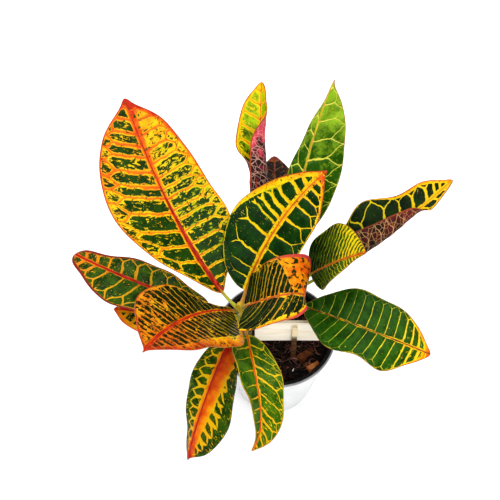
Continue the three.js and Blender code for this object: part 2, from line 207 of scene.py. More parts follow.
# %% Stems and leaves in numbers (mm and degrees)
STEMS = {
    "left": {"axis": [(-23, -11, 48), (-24, -12, 85), (-28, -14, 125), (-32, -18, 160), (-35, -21, 187)],
             "radius": [4.8, 4.6, 4.2, 3.7, 3.2]},
    "middle": {"axis": [(4, 5, 48), (4, 4, 85), (5, 3, 125), (6, 1, 160), (6, 0, 186)],
               "radius": [5, 4.8, 4.4, 3.9, 3.3]},
}
LEAVES = {
    "leaf_a": dict(stem="left", z=179, az=(210, 113), turn=0.15, el=(38, 30), stalk=25, blade=198,
                   left=(8, 20, 39, 52, 48, 32, 8), right=(10, 32, 45, 42, 36, 26, 7),
                   roll=(-2, -8), fold=(10, 5), wave=2, waves=3),
    "leaf_b": dict(stem="left", z=181, az=(69, 29), el=(46, 30), stalk=18, blade=134,
                   left=(14, 29, 39, 41, 30, 16, 4), right=(14, 26, 31, 31, 29, 17, 4),
                   roll=(6, 12), fold=(11, 3), wave=1.5, waves=3),
    "leaf_c": dict(stem="left", z=174, az=(202, 244.5), el=(43.5, 15.5), stalk=12, blade=122,
                   left=(29, 42, 41, 37, 33, 16, 3), right=(3, 5, 15, 34, 39, 20, 2.5),
                   roll=(-8, -2), fold=(0, 16), cup=8, wave=2, waves=2),
    "leaf_d": dict(stem="left", z=184, az=(-27, 29), el=(48, -112), bend=2.8, stalk=9, blade=74,
                   left=(16, 25, 29, 33, 35, 36, 24), right=(26, 29, 27, 25, 22, 15, 7),
                   roll=(0, 15), fold=(25, 0), cup=2, wave=1, waves=2),
    "leaf_e": dict(stem="middle", z=172, az=(22, -28), el=(44.6, 46.4), stalk=36, blade=67,
                   left=(12, 25, 32, 36, 30, 16, 6), right=(8, 20, 28, 25, 14, 7.5, 3),
                   roll=(4, 4), fold=(18, 12), cup=0, wave=1.5, waves=2),
    "leaf_f": dict(stem="middle", z=168, az=(15, 38), el=(28, 20), stalk=36, blade=156,
                   left=(11, 21, 28, 37, 22, 18, 6), right=(9, 28, 40, 34, 16, 8, 3),
                   roll=(-2, 12), fold=(18, 22), curl=((0, 0, 0, 1), (162, 15, 0.68, 0.8)), cup=0,
                   wave=2, waves=3),
    "leaf_g": dict(stem="middle", z=183, az=(82, 65), el=(48, 26), stalk=42, blade=158,
                   left=(6, 12, 16, 16, 11, 4, 1.5), right=(9, 22, 32, 35, 32, 20, 4),
                   roll=(0, -40), fold=(-10, -5), wave=1.5, waves=3),
    "leaf_h": dict(stem="middle", z=174, az=(194, 87), turn=0.1, el=(32, 30), stalk=50, blade=154,
                   left=(12, 22, 33, 27, 23, 17, 6), right=(12, 28, 36, 33, 24, 11, 5),
                   roll=(0, 0), fold=(2, 33), curl=((150, 25, 0.4, 0.64), (172, 50, 0.6, 0.86)), cup=0,
                   wave=1, waves=2),
    "leaf_i": dict(stem="middle", z=166, az=(96, 90), el=(20, 10), stalk=27, blade=120,
                   left=(7, 16, 24, 27, 24, 16, 6), right=(7, 16, 24, 27, 24, 16, 6),
                   roll=(0, 0), fold=(5, 5), wave=1.5, waves=2),
    "leaf_j": dict(stem="left", z=158, az=(166, 145), el=(8, -10), stalk=34, blade=151,
                   left=(9, 20, 33, 37, 31, 18, 10), right=(8, 15, 23, 28, 22, 15, 10),
                   roll=(10, 5), fold=(5, -3), wave=2, waves=3),
    "leaf_k": dict(stem="left", z=149, az=(173, 164), el=(-1, -14), stalk=24, blade=108,
                   left=(8, 18, 25, 26, 23, 15, 5), right=(7, 15, 20, 22, 20, 11, 4),
                   roll=(0, 0), fold=(2, 5), wave=1.5, waves=3),
    "leaf_l": dict(stem="left", z=167, az=(242, 247), el=(-14, -58), stalk=24, blade=127,
                   left=(7, 15, 23, 29, 30, 20, 4), right=(7, 16, 21, 22, 15, 10, 3),
                   roll=(-10, 35), fold=(-8, -8), wave=2, waves=3),
    "leaf_m": dict(stem="left", z=162, az=(280, 232), turn=6, el=(8, -6), stalk=22, blade=116,
                   left=(7, 15, 22, 24, 22, 15, 4), right=(10, 20, 21, 19, 14, 6, 2),
                   roll=(0, -50), fold=(12, 20), wave=1.5, waves=3),
    "leaf_n": dict(stem="middle", z=162, az=(-30, -17), el=(15, -16), stalk=20, blade=128,
                   left=(5, 18, 33, 33.5, 30.5, 20, 6.5), right=(7, 20, 35, 29, 35, 19, 7),
                   roll=(0, 12), fold=(6, 5), wave=1.5, waves=3),
}
print("leaves:", len(LEAVES), "longest blade:", max(l["blade"] for l in LEAVES.values()), "mm")

# %% [markdown]
# ## The shape of a blade as a formula
# A blade bends in three dimensions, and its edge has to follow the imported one, so it isn't pushed
# about by hand. A flat grid is added, and each point of it is moved to its place: so far along the
# midrib, and so far out to the side. First comes the midrib, walked in small steps from the stem.

# %% Walk along a midrib
STEPS = 160


def lerp(a, b, t):
    return a + (b - a) * t


def smooth(t):
    """A soft step from 0 to 1."""
    t = np.clip(t, 0, 1)
    return t * t * (3 - 2 * t)


def catmull(points, place):
    """A smooth curve through the points, at a running place: 0 is the first point, 1 the second."""
    p = np.array(points, float)
    p = np.concatenate([2 * p[:1] - p[1:2], p, 2 * p[-1:] - p[-2:-1]])
    place = np.clip(place, 0, len(points) - 1 - 1e-9)
    i = place.astype(int)
    f = (place - i).reshape(-1, *[1] * (p.ndim - 1))
    a, b, c, d = p[i], p[i + 1], p[i + 2], p[i + 3]
    bend = (2 * a - 5 * b + 4 * c - d) * f ** 2
    return 0.5 * (2 * b + (c - a) * f + bend + (3 * b - a - 3 * c + d) * f ** 3)


def midrib(leaf):
    """Way from the stem and points (mm), side and up direction along stalk and midrib."""
    axis = np.array(STEMS[leaf["stem"]]["axis"], float)
    start = np.array([np.interp(leaf["z"], axis[:, 2], axis[:, k]) for k in (0, 1)] + [leaf["z"]])
    s = np.linspace(0, 1, STEPS + 1)
    az = np.radians(lerp(*leaf["az"], s ** leaf.get("turn", 1)))
    el = np.radians(lerp(*leaf["el"], s ** leaf.get("bend", 1)))
    ahead = np.stack([np.cos(az) * np.cos(el), np.sin(az) * np.cos(el), np.sin(el)], 1)
    side = np.stack([-np.sin(az), np.cos(az), 0 * s], 1)
    total = leaf["stalk"] + leaf["blade"]
    points = start + np.vstack([np.zeros(3), np.cumsum(ahead[:-1] * total / STEPS, 0)])
    return s * total, points, side, np.cross(ahead, side)


def along(leaf, mm):
    """Point, side and up direction at so many mm from the stem, turned by the leaf's own roll."""
    s, *rows = midrib(leaf)
    point, side, up = [np.stack([np.interp(mm, s, row[:, k]) for k in range(3)], -1) for row in rows]
    t = np.clip((mm - leaf["stalk"]) / leaf["blade"], 0, 1)
    roll = np.radians(lerp(*leaf["roll"], t))[..., None]
    return point, side * np.cos(roll) + up * np.sin(roll), up * np.cos(roll) - side * np.sin(roll)


print("midrib of leaf_a ends at", np.round(midrib(LEAVES["leaf_a"])[1][-1]))

# %% [markdown]
# The seven half-widths lie close together near base and tip, where the outline turns fast, and a
# smooth curve runs through them. A half that curls is bent along a circle: `curl` gives its angle at
# the base, its angle at the tip, and the two places along the blade between which it changes. A half
# that starts folded up (`cup`) opens towards the tip, and `wave` and `waves` ripple the edge.

# %% Outline and surface of a blade
LEAST_MM = 0.6
NO_CURL = (0, 0, 0, 1)


def half_width(leaf, t, left):
    """Half-width (mm) at t along the blade, 0 at both ends."""
    place = 8 * np.arccos(1 - 2 * np.clip(t, 0, 1)) / np.pi + 1
    halves = [catmull([-w[0], 0, *w, 0, -w[-1]], place) for w in (leaf["left"], leaf["right"])]
    return np.maximum(np.where(left, *halves), 0)


def surface(leaf, t, v):
    """Point (mm) of the middle of the blade at t along it and v across it (-1 right edge, 1 left)."""
    left = v >= 0
    out = np.abs(v)
    w = np.maximum(half_width(leaf, t, left), LEAST_MM)
    lift = np.radians(np.where(left, *leaf["fold"]) + leaf.get("cup", 14) * (1 - t) ** 3)
    curls = [lerp(at_base, at_tip, smooth((t - begin) / (end - begin)))
             for at_base, at_tip, begin, end in leaf.get("curl", (NO_CURL, NO_CURL))]
    # a strip narrower than 10 mm curls less, and a curl is never quite 0, so that it can be divided by
    curl = np.radians(np.where(left, *curls) * np.minimum(w / 10, 1)) + 1e-6
    x = w * (np.sin(lift + curl * out) - np.sin(lift)) / curl
    z = w * (np.cos(lift) - np.cos(lift + curl * out)) / curl
    ripple = np.sin(2 * np.pi * leaf["waves"] * t + np.where(left, 0, 2)) * np.sin(np.pi * t)
    z += leaf["wave"] * out ** 2 * ripple
    point, side, up = along(leaf, leaf["stalk"] + t * leaf["blade"])
    return point + side * (np.where(left, 1, -1) * x)[:, None] + up * z[:, None]


widest = half_width(LEAVES["leaf_a"], np.linspace(0, 1, STEPS), True).max()
print("leaf_a is", round(widest), "mm wide left of its midrib")

# %% [markdown]
# ## Side veins
# The pattern of a croton follows its veins. Side veins leave the midrib, run out, fork near the edge
# and meet their neighbours in arches. Chlorophyll stays in islands between them, and yellow, orange or
# red shows along them. So each point of a blade is told which vein it lies nearest to, as a running
# number: 3.0 is on the third vein, 3.5 halfway to the fourth. From the place `fork` to the place `join`
# on the way out, the line that counts as the vein moves from the whole number to halfway between two,
# where it meets its neighbour's.

# %% Number the side veins of a flat leaf
RIGHT_LATER_MM = 1.3


def vein_number(leaf, look, x, y, half):
    """For half 0 (left) or 1 (right): running vein number, part of the way out, gap between veins (mm)
    and the place on the midrib (mm) that the vein through this point comes from."""
    if "starts" in look:
        starts = np.array(look["starts"][half], float)
    else:
        starts = np.linspace(look["first"], look["last"], look["pairs"]) * leaf["blade"]
        starts = starts + RIGHT_LATER_MM * half
    t = x / leaf["blade"]
    w = np.maximum(half_width(leaf, t, half == 0), LEAST_MM)
    out = np.clip(np.abs(y) / w, 0, 1)
    angle = np.radians(lerp(*look["angle"][half], t))
    origin = x - np.abs(y) / np.tan(angle) - look["bow"][half] * out ** 2
    gaps = np.gradient(starts)
    number = np.interp(origin, starts, np.arange(len(starts)))
    number += np.minimum(origin - starts[0], 0) / gaps[0] + np.maximum(origin - starts[-1], 0) / gaps[-1]
    return number, out, np.interp(origin, starts, gaps) * np.sin(angle), origin


def vein_distance(look, number, out, gap):
    """Distance (mm) to the nearest vein or fork, as the material works it out too."""
    forked = 0.5 * smooth((out - look["fork"]) / (look["join"] - look["fork"]))
    return np.abs(np.abs(number - np.round(number)) - forked) * gap


print("vein helpers ready")

# %% [markdown]
# ## How each leaf is coloured
# A croton bears leaves of different ages and colours, so each has its own line, and PLAIN holds what
# is usual. A pair of colours is mixed. `green` goes from dark clouds to light ones, `pale` lightens it
# at base and tip, `ground` is the warm ground from yellow to red, `core` colours the side veins, `band`
# the midrib and `stalk` the stalk, `rim` is the line along the edge and `rim_mm` its width. `under`
# turns from its first to its second colour at the places `under_turn`, and `under_vein` is the net on it.
#
# Veins: `starts` are their places on the midrib in mm (or `pairs` from `first` to `last`), `angle` is
# told at base and tip, and `bow` (mm) bends them. `vein` is half their width at midrib and edge,
# `reach` where they end, `thin` narrows them, `fade` is the place from which they vanish, and `even`
# makes some of them stronger than others. `band_mm` is half the width of the midrib's band.
#
# A value that changes along the blade is a table of (place, value). Two of them in brackets are left
# and right. `halo`, `middle` and `edge` (mm) keep the green away from veins, midrib and edge, and
# `tip` from the tip. `root` is how far (mm) the veins run through that warm strip to the midrib. `warm`
# is how red the ground is, `warm_rib` and `warm_edge` add to it there, `near` and `depth` away from the
# green, and `vary` in clouds. `fleck` says how free an island is of small yellow flecks: 2 is nearly
# free, and at 0 half of it is flecked. `fleck_mm` is their size across and along the veins, `margin`
# adds more of them near the edge. Stray green specks of `stray_mm` lie in the ground where `stray` is
# low. `wander` (mm) bends the veins, `wobble` (mm) the green's border, and `rough` is the wax's
# roughness.

# %% The colour pattern of each leaf
PLAIN = dict(
    green=("#0A2A04", "#1E5206"), pale=(0, 0),
    ground=("#8A9E0C", "#DEBC0A", "#E6960A", "#D8580A", "#AE200C"), core=("#C8B80C", "#DCA80C"),
    band=("#8E180A", "#C8480C"), rim=("#8E4A18", "#96301A"), rim_mm=(0.6, 0.8), stalk="#8C9A2C",
    under=("#5E6A2C", "#3E5A1E"), under_vein="#C8B050", under_turn=(0.8, 1.15),
    first=0.05, last=0.94, angle=((68, 58), (68, 58)), bow=(0, 0), fork=0.76, join=1, reach=1.2,
    vein=(0.8, 0.4), thin=0, fade=(2, 2), even=(0.65, 1.3),
    halo=0.3, middle=2.5, edge=0.8, tip=6, root=99, band_mm=[(0, 1.6), (1, 0.8)], warm=0.25,
    warm_rib=0.15, warm_edge=0.12, near=0.12, depth=0.05, vary=0.5,
    fleck=2.2, fleck_mm=(1.6, 4), margin=0.3, stray=0.9, stray_mm=2, wander=4, wobble=3,
    rough=(0.22, 0.36))
LOOKS = {
    "leaf_a": dict(
        green=("#0A2604", "#234406"), core=("#C8780A", "#D8560C"), band=("#6A0A08", "#C0300E"),
        rim=("#8A5A14", "#9A2812"), rim_mm=(0.6, 0.9), stalk="#A0A022",
        starts=([8, 20, 36, 52, 67, 85, 100, 111, 125, 140, 151, 163, 176],
                [8, 15, 27, 40, 53, 66, 78, 87, 99, 108, 119, 133, 146, 160, 173]),
        angle=((72, 64), (97, 72)), bow=(3, -2), fork=0.66, join=0.92, vein=(0.5, 0.3),
        halo=([(0, 0.4), (0.4, 1.4), (1, 2.2)], [(0, 0.4), (0.4, 1.3), (1, 2)]),
        middle=([(0, 1.4), (0.2, 4), (0.5, 2.4), (1, 3)], [(0, 1.4), (0.2, 3.6), (0.5, 3), (1, 6)]),
        edge=([(0, 0.8), (0.5, 2), (1, 3)], [(0, 0.8), (0.4, 2), (0.7, 3), (1, 7)]), tip=9,
        band_mm=[(0, 3), (0.3, 1.9), (0.6, 0.6), (1, 0)],
        warm=([(0, 0.1), (0.3, 0.25), (0.8, 0.35), (0.95, 0.35), (1, 0.7)],
              [(0, 0.08), (0.5, 0.12), (0.8, 0.32), (0.95, 0.4), (1, 0.7)]),
        warm_rib=0.2, warm_edge=0.3, near=0.3, depth=0.01, vary=0.8,
        fleck=([(0, 2.2), (0.3, 1.4), (0.5, 1.1), (1, 1)],
               [(0, 2), (0.3, 1.2), (0.6, 0.5), (0.75, 0), (0.86, -1.2), (1, -2)]),
        fleck_mm=(2.7, 4.6), margin=0.8, stray=0.575, stray_mm=3.4),
    "leaf_b": dict(
        green=("#061E04", "#123C06"), core=("#D8C00A", "#E0A80A"), band=("#A0480A", "#C8740C"),
        rim=("#8A7A14", "#9A3812"), rim_mm=(0.5, 1), stalk="#A8702A",
        starts=([12, 21, 35, 54, 67, 73, 81, 89, 102, 112, 120], [15, 28, 43, 59, 77, 93, 103, 113, 121]),
        angle=((85, 78), (90, 88)), bow=(3, 0), fork=0.62, join=0.96, reach=1.0, vein=(1.1, 0.3),
        thin=([(0, 0.5), (0.35, 0.1), (1, 0)], [(0, 0.2), (1, 0)]), fade=(0.76, 2),
        halo=([(0, -0.6), (0.35, -0.2), (0.55, 0.6), (0.75, 0.8), (1, 0.5)],
              [(0, -0.5), (0.5, 0), (1, 0.6)]),
        middle=([(0, 3.4), (1, 3)], [(0, 3), (1, 2.8)]),
        edge=([(0, 0.4), (0.4, 0.8), (0.55, 5), (0.7, 8), (0.85, 6), (1, 5)],
              [(0, 0.3), (0.5, 0.8), (0.8, 3), (1, 6)]),
        tip=7, band_mm=[(0, 1.2), (1, 0.4)],
        warm=([(0, 0.08), (0.6, 0.14), (0.93, 0.2), (1, 0.8)], [(0, 0.1), (0.85, 0.25), (1, 0.8)]),
        warm_rib=0.14, near=0.1, depth=0.015, vary=0.7,
        fleck=([(0, 2.3), (0.5, 1.9), (1, 1.8)], [(0, 2.4), (1, 1.9)]), fleck_mm=(0.9, 3.5), stray=0.58,
        stray_mm=2.2),
    "leaf_c": dict(
        green=("#0A1002", "#1E2806"), ground=("#6E7A0E", "#DAA610", "#CC780C", "#B8540C", "#96280A"),
        core=("#8A8214", "#D07A0E"), band=("#8E1608", "#C03C0A"), rim=("#8A6A14", "#A82810"),
        rim_mm=(0.6, 0.9), stalk="#5A5A1E", under=("#7A3A22", "#4E3A1C"), under_vein="#D87A40",
        pairs=22, angle=((138, 84), (52, 84)), fork=1.1, vein=(0.2, 0.15),
        halo=([(0, -0.5), (0.3, 0), (0.6, 0.35), (1, 0.7)],
              [(0, -0.6), (0.4, -0.1), (0.7, 0.4), (1, 0.8)]),
        middle=[(0, 1), (1, 2.6)],
        edge=([(0, 9), (0.25, 12), (0.6, 9), (1, 3)], [(0, 0.6), (0.5, 1.4), (1, 5)]), tip=8,
        band_mm=[(0, 0.6), (0.4, 1.3), (1, 1.7)],
        warm=([(0, 0.12), (0.35, 0.24), (0.6, 0.62), (1, 0.85)], [(0, 0.2), (0.4, 0.36), (1, 0.55)]),
        warm_edge=0.1, near=0.1, depth=0.03, vary=1.1,
        fleck=([(0, 1.8), (0.3, 1.3), (0.6, 0.7), (1, 0.2)],
               [(0, 2.2), (0.4, 1.7), (0.75, 0.5), (1, -0.3)]),
        fleck_mm=(3.2, 7), stray=0.56, stray_mm=3.5, wander=3, wobble=4),
    "leaf_d": dict(
        green=("#060F02", "#162C06"), core=("#8A8A14", "#D0740C"), band=("#9A4A1A", "#D0640E"),
        rim=("#9A5A14", "#C2343A"), rim_mm=(0.3, 3.2), stalk="#8A7A3A", under=("#7A3A22", "#4E3A1C"),
        under_vein="#D87A40",
        starts=([3, 6, 8, 12, 15, 18, 22, 25, 30, 34, 37, 42, 47, 51, 58, 66],
                [4, 8, 13, 17, 23, 28, 34, 39, 46, 52, 59, 66]),
        angle=((62, 74), (132, 118)), bow=(3, 0), fork=0.85, vein=(0.3, 0.2),
        thin=([(0, 0.2), (0.5, 0)], [(0, 0.1), (0.5, 0)]), even=(0.1, 1.9),
        halo=([(0, -0.4), (0.5, -0.1), (1, 0.4)], [(0, -0.4), (0.6, -0.1), (1, 0.3)]),
        middle=[(0, 0.6), (1, 1.6)],
        edge=([(0, 0.5), (0.5, 1), (0.58, 3), (0.62, 14), (0.67, 30), (1, 40)],
              [(0, 0.4), (0.4, 3), (0.7, 5), (1, 5)]),
        tip=3, root=2, band_mm=0.9, warm=([(0, 0.1), (0.5, 0.3), (1, 0.42)], 0.2), warm_edge=0.2,
        near=0.16, depth=0.005, vary=0.8,
        fleck=([(0, 2.4), (0.6, 1.9), (1, 1)], [(0, 2.2), (0.6, 1.5), (1, 1.2)]), stray=0.53,
        stray_mm=4.5, wander=2, wobble=9, rough=(0.5, 0.6)),
    "leaf_e": dict(
        green=("#0A1E04", "#344E08"), pale=(-0.3, 0.7), core=("#7A8A2A", "#D0BC14"),
        band=("#8A3A10", "#D0780E"), rim=("#3A3A10", "#8A4A18"), rim_mm=(0.4, 0.9),
        pairs=16, angle=((58, 70), (62, 58)), bow=(4, 2), fork=1.1, vein=(0.14, 0.1),
        thin=[(0, 0.16), (0.6, 0)],
        halo=([(0, -0.6), (0.35, -0.3), (0.6, 0.5), (0.8, 0.9), (1, 0)],
              [(0, -0.6), (0.4, -0.1), (1, 0.6)]),
        middle=[(0, 0.4), (1, 1.2)], edge=([(0, 0.2), (0.6, 0.6), (1, 1.2)], [(0, 0.2), (1, 1.2)]), tip=3,
        band_mm=[(0, 0.6), (0.5, 1.1), (1, 1.9)], warm=[(0, 0), (1, 0.14)], near=0.2,
        fleck=([(0, 2.4), (0.5, 1.5), (1, 0.7)], [(0, 2.4), (1, 1.1)]), fleck_mm=(1.4, 8), wander=5),
    "leaf_f": dict(
        green=("#051402", "#183206"), core=("#C0B810", "#D8B40C"), band=("#B08A0C", "#CCA010"),
        rim=("#5A2A14", "#96401A"), under=("#140A04", "#5A1C1C"), under_vein="#C8945C",
        starts=([14, 30, 54, 79, 95, 110, 125, 134, 141], [14, 30, 46, 60, 74, 88, 103, 117, 130]),
        angle=((70, 60), (66, 60)), bow=(2, 2), fork=0.6, vein=(0.9, 0.4), thin=[(0, 0.5), (0.4, 0)],
        halo=[(0, -0.5), (1, 0.4)], middle=[(0, 1.2), (1, 2)],
        edge=([(0, 0.5), (0.5, 0.8), (0.7, 3), (1, 4)], [(0, 0.6), (1, 2)]), band_mm=0.9, warm_rib=0.05,
        warm_edge=0.05,
        fleck=([(0, 2.7), (1, 1.9)], [(0, 2.5), (1, 1.8)]), stray=0.64, rough=(0.4, 0.5)),
    # leaf_g: its light green towards the tip is partly its own colour and partly a painted sheen; pale
    # darkens the base and lightens the tip
    "leaf_g": dict(
        green=("#1E4604", "#7CA01A"), pale=(-1.5, 0.6), core=("#B8B428", "#D8CC54"),
        band=("#A8602A", "#D0A83C"), rim=("#7A3A1A", "#9A4C2C"), rim_mm=(0.5, 0.6),
        under=("#6E8A3C", "#4E7A2A"), under_vein="#C8C860",
        starts=([18, 34, 50, 68, 87, 103, 119, 134], [12, 26, 42, 60, 79, 97, 116, 132]),
        angle=((56, 52), (75, 72)), bow=(2, 3), fork=0.5, vein=(0.6, 0.28),
        halo=-0.5, middle=0.8, edge=0.2, tip=1, band_mm=[(0, 0.7), (1, 0.3)], warm=0.1, warm_rib=0,
        warm_edge=0,
        fleck=(2.4, [(0, 2), (1, 1.6)])),
    "leaf_h": dict(
        green=("#0E2A04", "#A0BE08"), pale=(-1.3, 0.5), core=("#C83C0C", "#D8900C"),
        band=("#A0200C", "#C8481A"), rim=("#8A3018", "#96401A"), stalk="#C8A07A",
        under=("#221012", "#C43C50"), under_vein="#E0A890", under_turn=(0.92, 1.14),
        pairs=11, angle=((66, 60), (66, 60)), vein=(0.6, 0.3),
        halo=([(0, 0.5), (1, 1.3)], [(0, 0.5), (1, 0.8)]), middle=[(0, 1), (1, 1.2)],
        edge=([(0, 1), (0.55, 2.4), (0.8, 3), (1, 3)], [(0, 1), (1, 3)]), tip=4,
        band_mm=[(0, 0.6), (1, 0.3)], warm=([(0, 0.16), (1, 0.14)], 0.2), warm_rib=0.1, depth=0.02,
        fleck=([(0, 1.6), (0.6, 1), (1, 0.5)], 1.4), fleck_mm=(3.5, 5)),
    # leaf_i lies in the shade behind leaves H and B: its near-black browns are partly its own dark colour
    # and partly painted shade
    "leaf_i": dict(
        green=("#0C0A06", "#20120C"), ground=("#2A2210", "#4A3214", "#6A421A", "#7A3A1A", "#6A2418"),
        core=("#7A4A22", "#8A5A24"), band=("#4A1A12", "#7A3A1C"), rim=("#4A1A14", "#6A241A"),
        stalk="#3A2A16", under=("#2E1614", "#5A2A28"), under_vein="#D8866A",
        pairs=11, fork=0.6, vein=(0.2, 0.1),
        halo=-0.2, middle=0.6, edge=0.6, band_mm=[(0, 0.2), (1, 0.1)], warm=0.5,
        fleck=1.2),
    "leaf_j": dict(
        green=("#0E2A05", "#3C600A"), core=("#CC980E", "#D0760E"), band=("#8E0C08", "#B41E0C"),
        rim=("#6A2A16", "#7C2014"), rim_mm=(1, 3), under=("#6A3A2A", "#4E4A22"), under_vein="#C88A50",
        starts=([18, 36, 54, 71, 88, 107, 122, 135], [12, 28, 44, 61, 78, 94, 109, 123, 137]),
        angle=((84, 72), (72, 66)), bow=(2, 2), fork=0.62, vein=(0.7, 0.4),
        halo=[(0, 0), (0.7, 0.4), (1, 1)], middle=([(0, 1.4), (1, 2)], [(0, 1.4), (1, 1.8)]),
        edge=[(0, 1), (1, 2.6)], tip=3, band_mm=[(0, 1.6), (0.6, 1.7), (1, 0.9)],
        warm=([(0, 0.15), (0.7, 0.28), (1, 0.5)], [(0, 0.18), (0.7, 0.3), (1, 0.5)]), warm_rib=0.25,
        warm_edge=0.4,
        fleck=([(0, 2.2), (0.6, 1.8), (1, 1)], [(0, 2), (0.6, 1.6), (1, 1)]), fleck_mm=(1.6, 3),
        stray=0.66),
    "leaf_k": dict(
        green=("#0C2A06", "#1E4A0A"), ground=("#B4C00E", "#F4D010", "#FCB00C", "#F86C10", "#E0301C"),
        core=("#E0B00E", "#E0A00E"), band=("#C8240C", "#E04414"), rim=("#C8500E", "#D84418"),
        rim_mm=(0.5, 1), under=("#7A3A22", "#4E3A1C"), under_vein="#D87A40",
        pairs=9, angle=((74, 62), (74, 62)), vein=(0.6, 0.3),
        halo=[(0, 0.4), (1, 1.2)], middle=[(0, 2), (1, 3)],
        edge=([(0, 1.5), (0.6, 5), (1, 6)], [(0, 1.5), (0.6, 3), (1, 5)]), tip=8, band_mm=0.6,
        warm=([(0, 0.2), (0.7, 0.28), (1, 0.5)], [(0, 0.4), (0.6, 0.6), (1, 0.9)]), near=0.1, depth=0.01,
        fleck=1.4),
    "leaf_l": dict(
        green=("#122E04", "#3E5E08"), core=("#D8B00C", "#D8A00C"), band=("#8E140A", "#B8300A"),
        rim=("#2E3A0C", "#3E3A10"), under=("#6A4A2A", "#4E4A22"), under_vein="#C89A50",
        pairs=11, first=0.06, last=0.9, angle=((56, 52), (84, 92)), bow=(0, 3), fork=0.42, join=0.8,
        vein=(1.5, 0.25), fade=(0.62, 0.74),
        halo=(0.4, 0.3),
        middle=([(0, 17), (0.16, 14), (0.5, 11), (0.8, 7), (1, 6)], [(0, 3), (0.5, 4), (1, 3)]), edge=0,
        root=1.5, band_mm=[(0, 0.3), (0.5, 0.5), (1, 0.9)],
        warm=([(0, 0.5), (0.3, 0.36), (0.6, 0.26), (0.85, 0.36), (1, 0.7)],
              [(0, 0.3), (0.5, 0.16), (1, 0.5)]),
        warm_rib=0.34, warm_edge=0, depth=0.015, vary=0.9,
        fleck=(1.7, 1.6), margin=0.5, wobble=8),
    "leaf_m": dict(
        green=("#164004", "#4C700A"), core=("#C8B414", "#D8960E"), band=("#B8380E", "#D8740E"),
        rim=("#A89A18", "#A8601A"), rim_mm=(0.5, 0.6), stalk="#A87A2A",
        starts=([10, 21, 32, 44, 60, 75, 84, 93, 101], [14, 25, 38, 53, 65, 76, 88, 98]),
        angle=((50, 46), (78, 60)), bow=(0, 2), fork=0.7, reach=1.05, vein=(0.8, 0.35),
        thin=(0, [(0, 0.25), (1, 0.2)]),
        halo=(-0.4, -0.5), middle=([(0, 1.6), (1, 1)], [(0, 1), (1, 0.6)]), edge=(0.4, 0.5), tip=2,
        band_mm=[(0, 1.3), (0.5, 1), (1, 0.8)], warm=0.12, near=0.2,
        fleck=([(0, 1.7), (1, 1.1)], 2.1)),
    "leaf_n": dict(
        green=("#143404", "#2C5A08"), pale=(-0.1, 0.1), core=("#B4BE3C", "#E0CC1C"),
        band=("#54180A", "#A85A0E"), rim=("#4A3A10", "#8A3A14"), rim_mm=(0.4, 0.8), stalk="#6A5A1E",
        starts=([10, 19, 27, 36, 45, 54, 64, 73, 82, 91, 100, 108, 115],
                [9, 19, 29, 39, 48, 57, 67, 76, 85, 94, 103, 110]),
        angle=((80, 88), (112, 95)), bow=(-5, 0), fork=0.84, reach=0.9, vein=(0.26, 0.14),
        thin=[(0, 0.14), (0.6, 0), (1, -0.2)],
        halo=([(0, -0.4), (0.7, -0.1), (0.9, 0.8), (1, 1.3)], [(0, -0.4), (0.7, -0.1), (1, 1.1)]),
        middle=[(0, 0.5), (0.6, 0.8), (1, 1.8)],
        edge=([(0, 0.2), (0.75, 0.6), (0.88, 4), (1, 5)], [(0, 0.2), (0.75, 0.8), (0.9, 3), (1, 4)]),
        tip=8, band_mm=[(0, 0.2), (1, 0.7)], warm=[(0, 0.15), (1, 0.26)], warm_rib=0.06, warm_edge=0.04,
        fleck=([(0, 3), (0.6, 2.4), (0.85, 1.5), (1, 0.4)], [(0, 3), (0.6, 2.3), (0.85, 1.4), (1, 0.4)]),
        wander=1.4),
}
LOOKS = {name: {**PLAIN, **look} for name, look in LOOKS.items()}
print("patterns:", len(LOOKS))

# %% [markdown]
# ## The skin of a leaf
# A croton leaf is thick and waxy, and slightly sunk along its veins. Both faces read the numbers that
# the mesh carries, and work out the same distance to the nearest vein, bent by noise. Working it out in
# the material keeps the veins sharp, where colours stored at the points would blur them.

# %% Distance to the nearest vein
MAP_MM = 100  # the maps of a leaf count in units of 100 mm


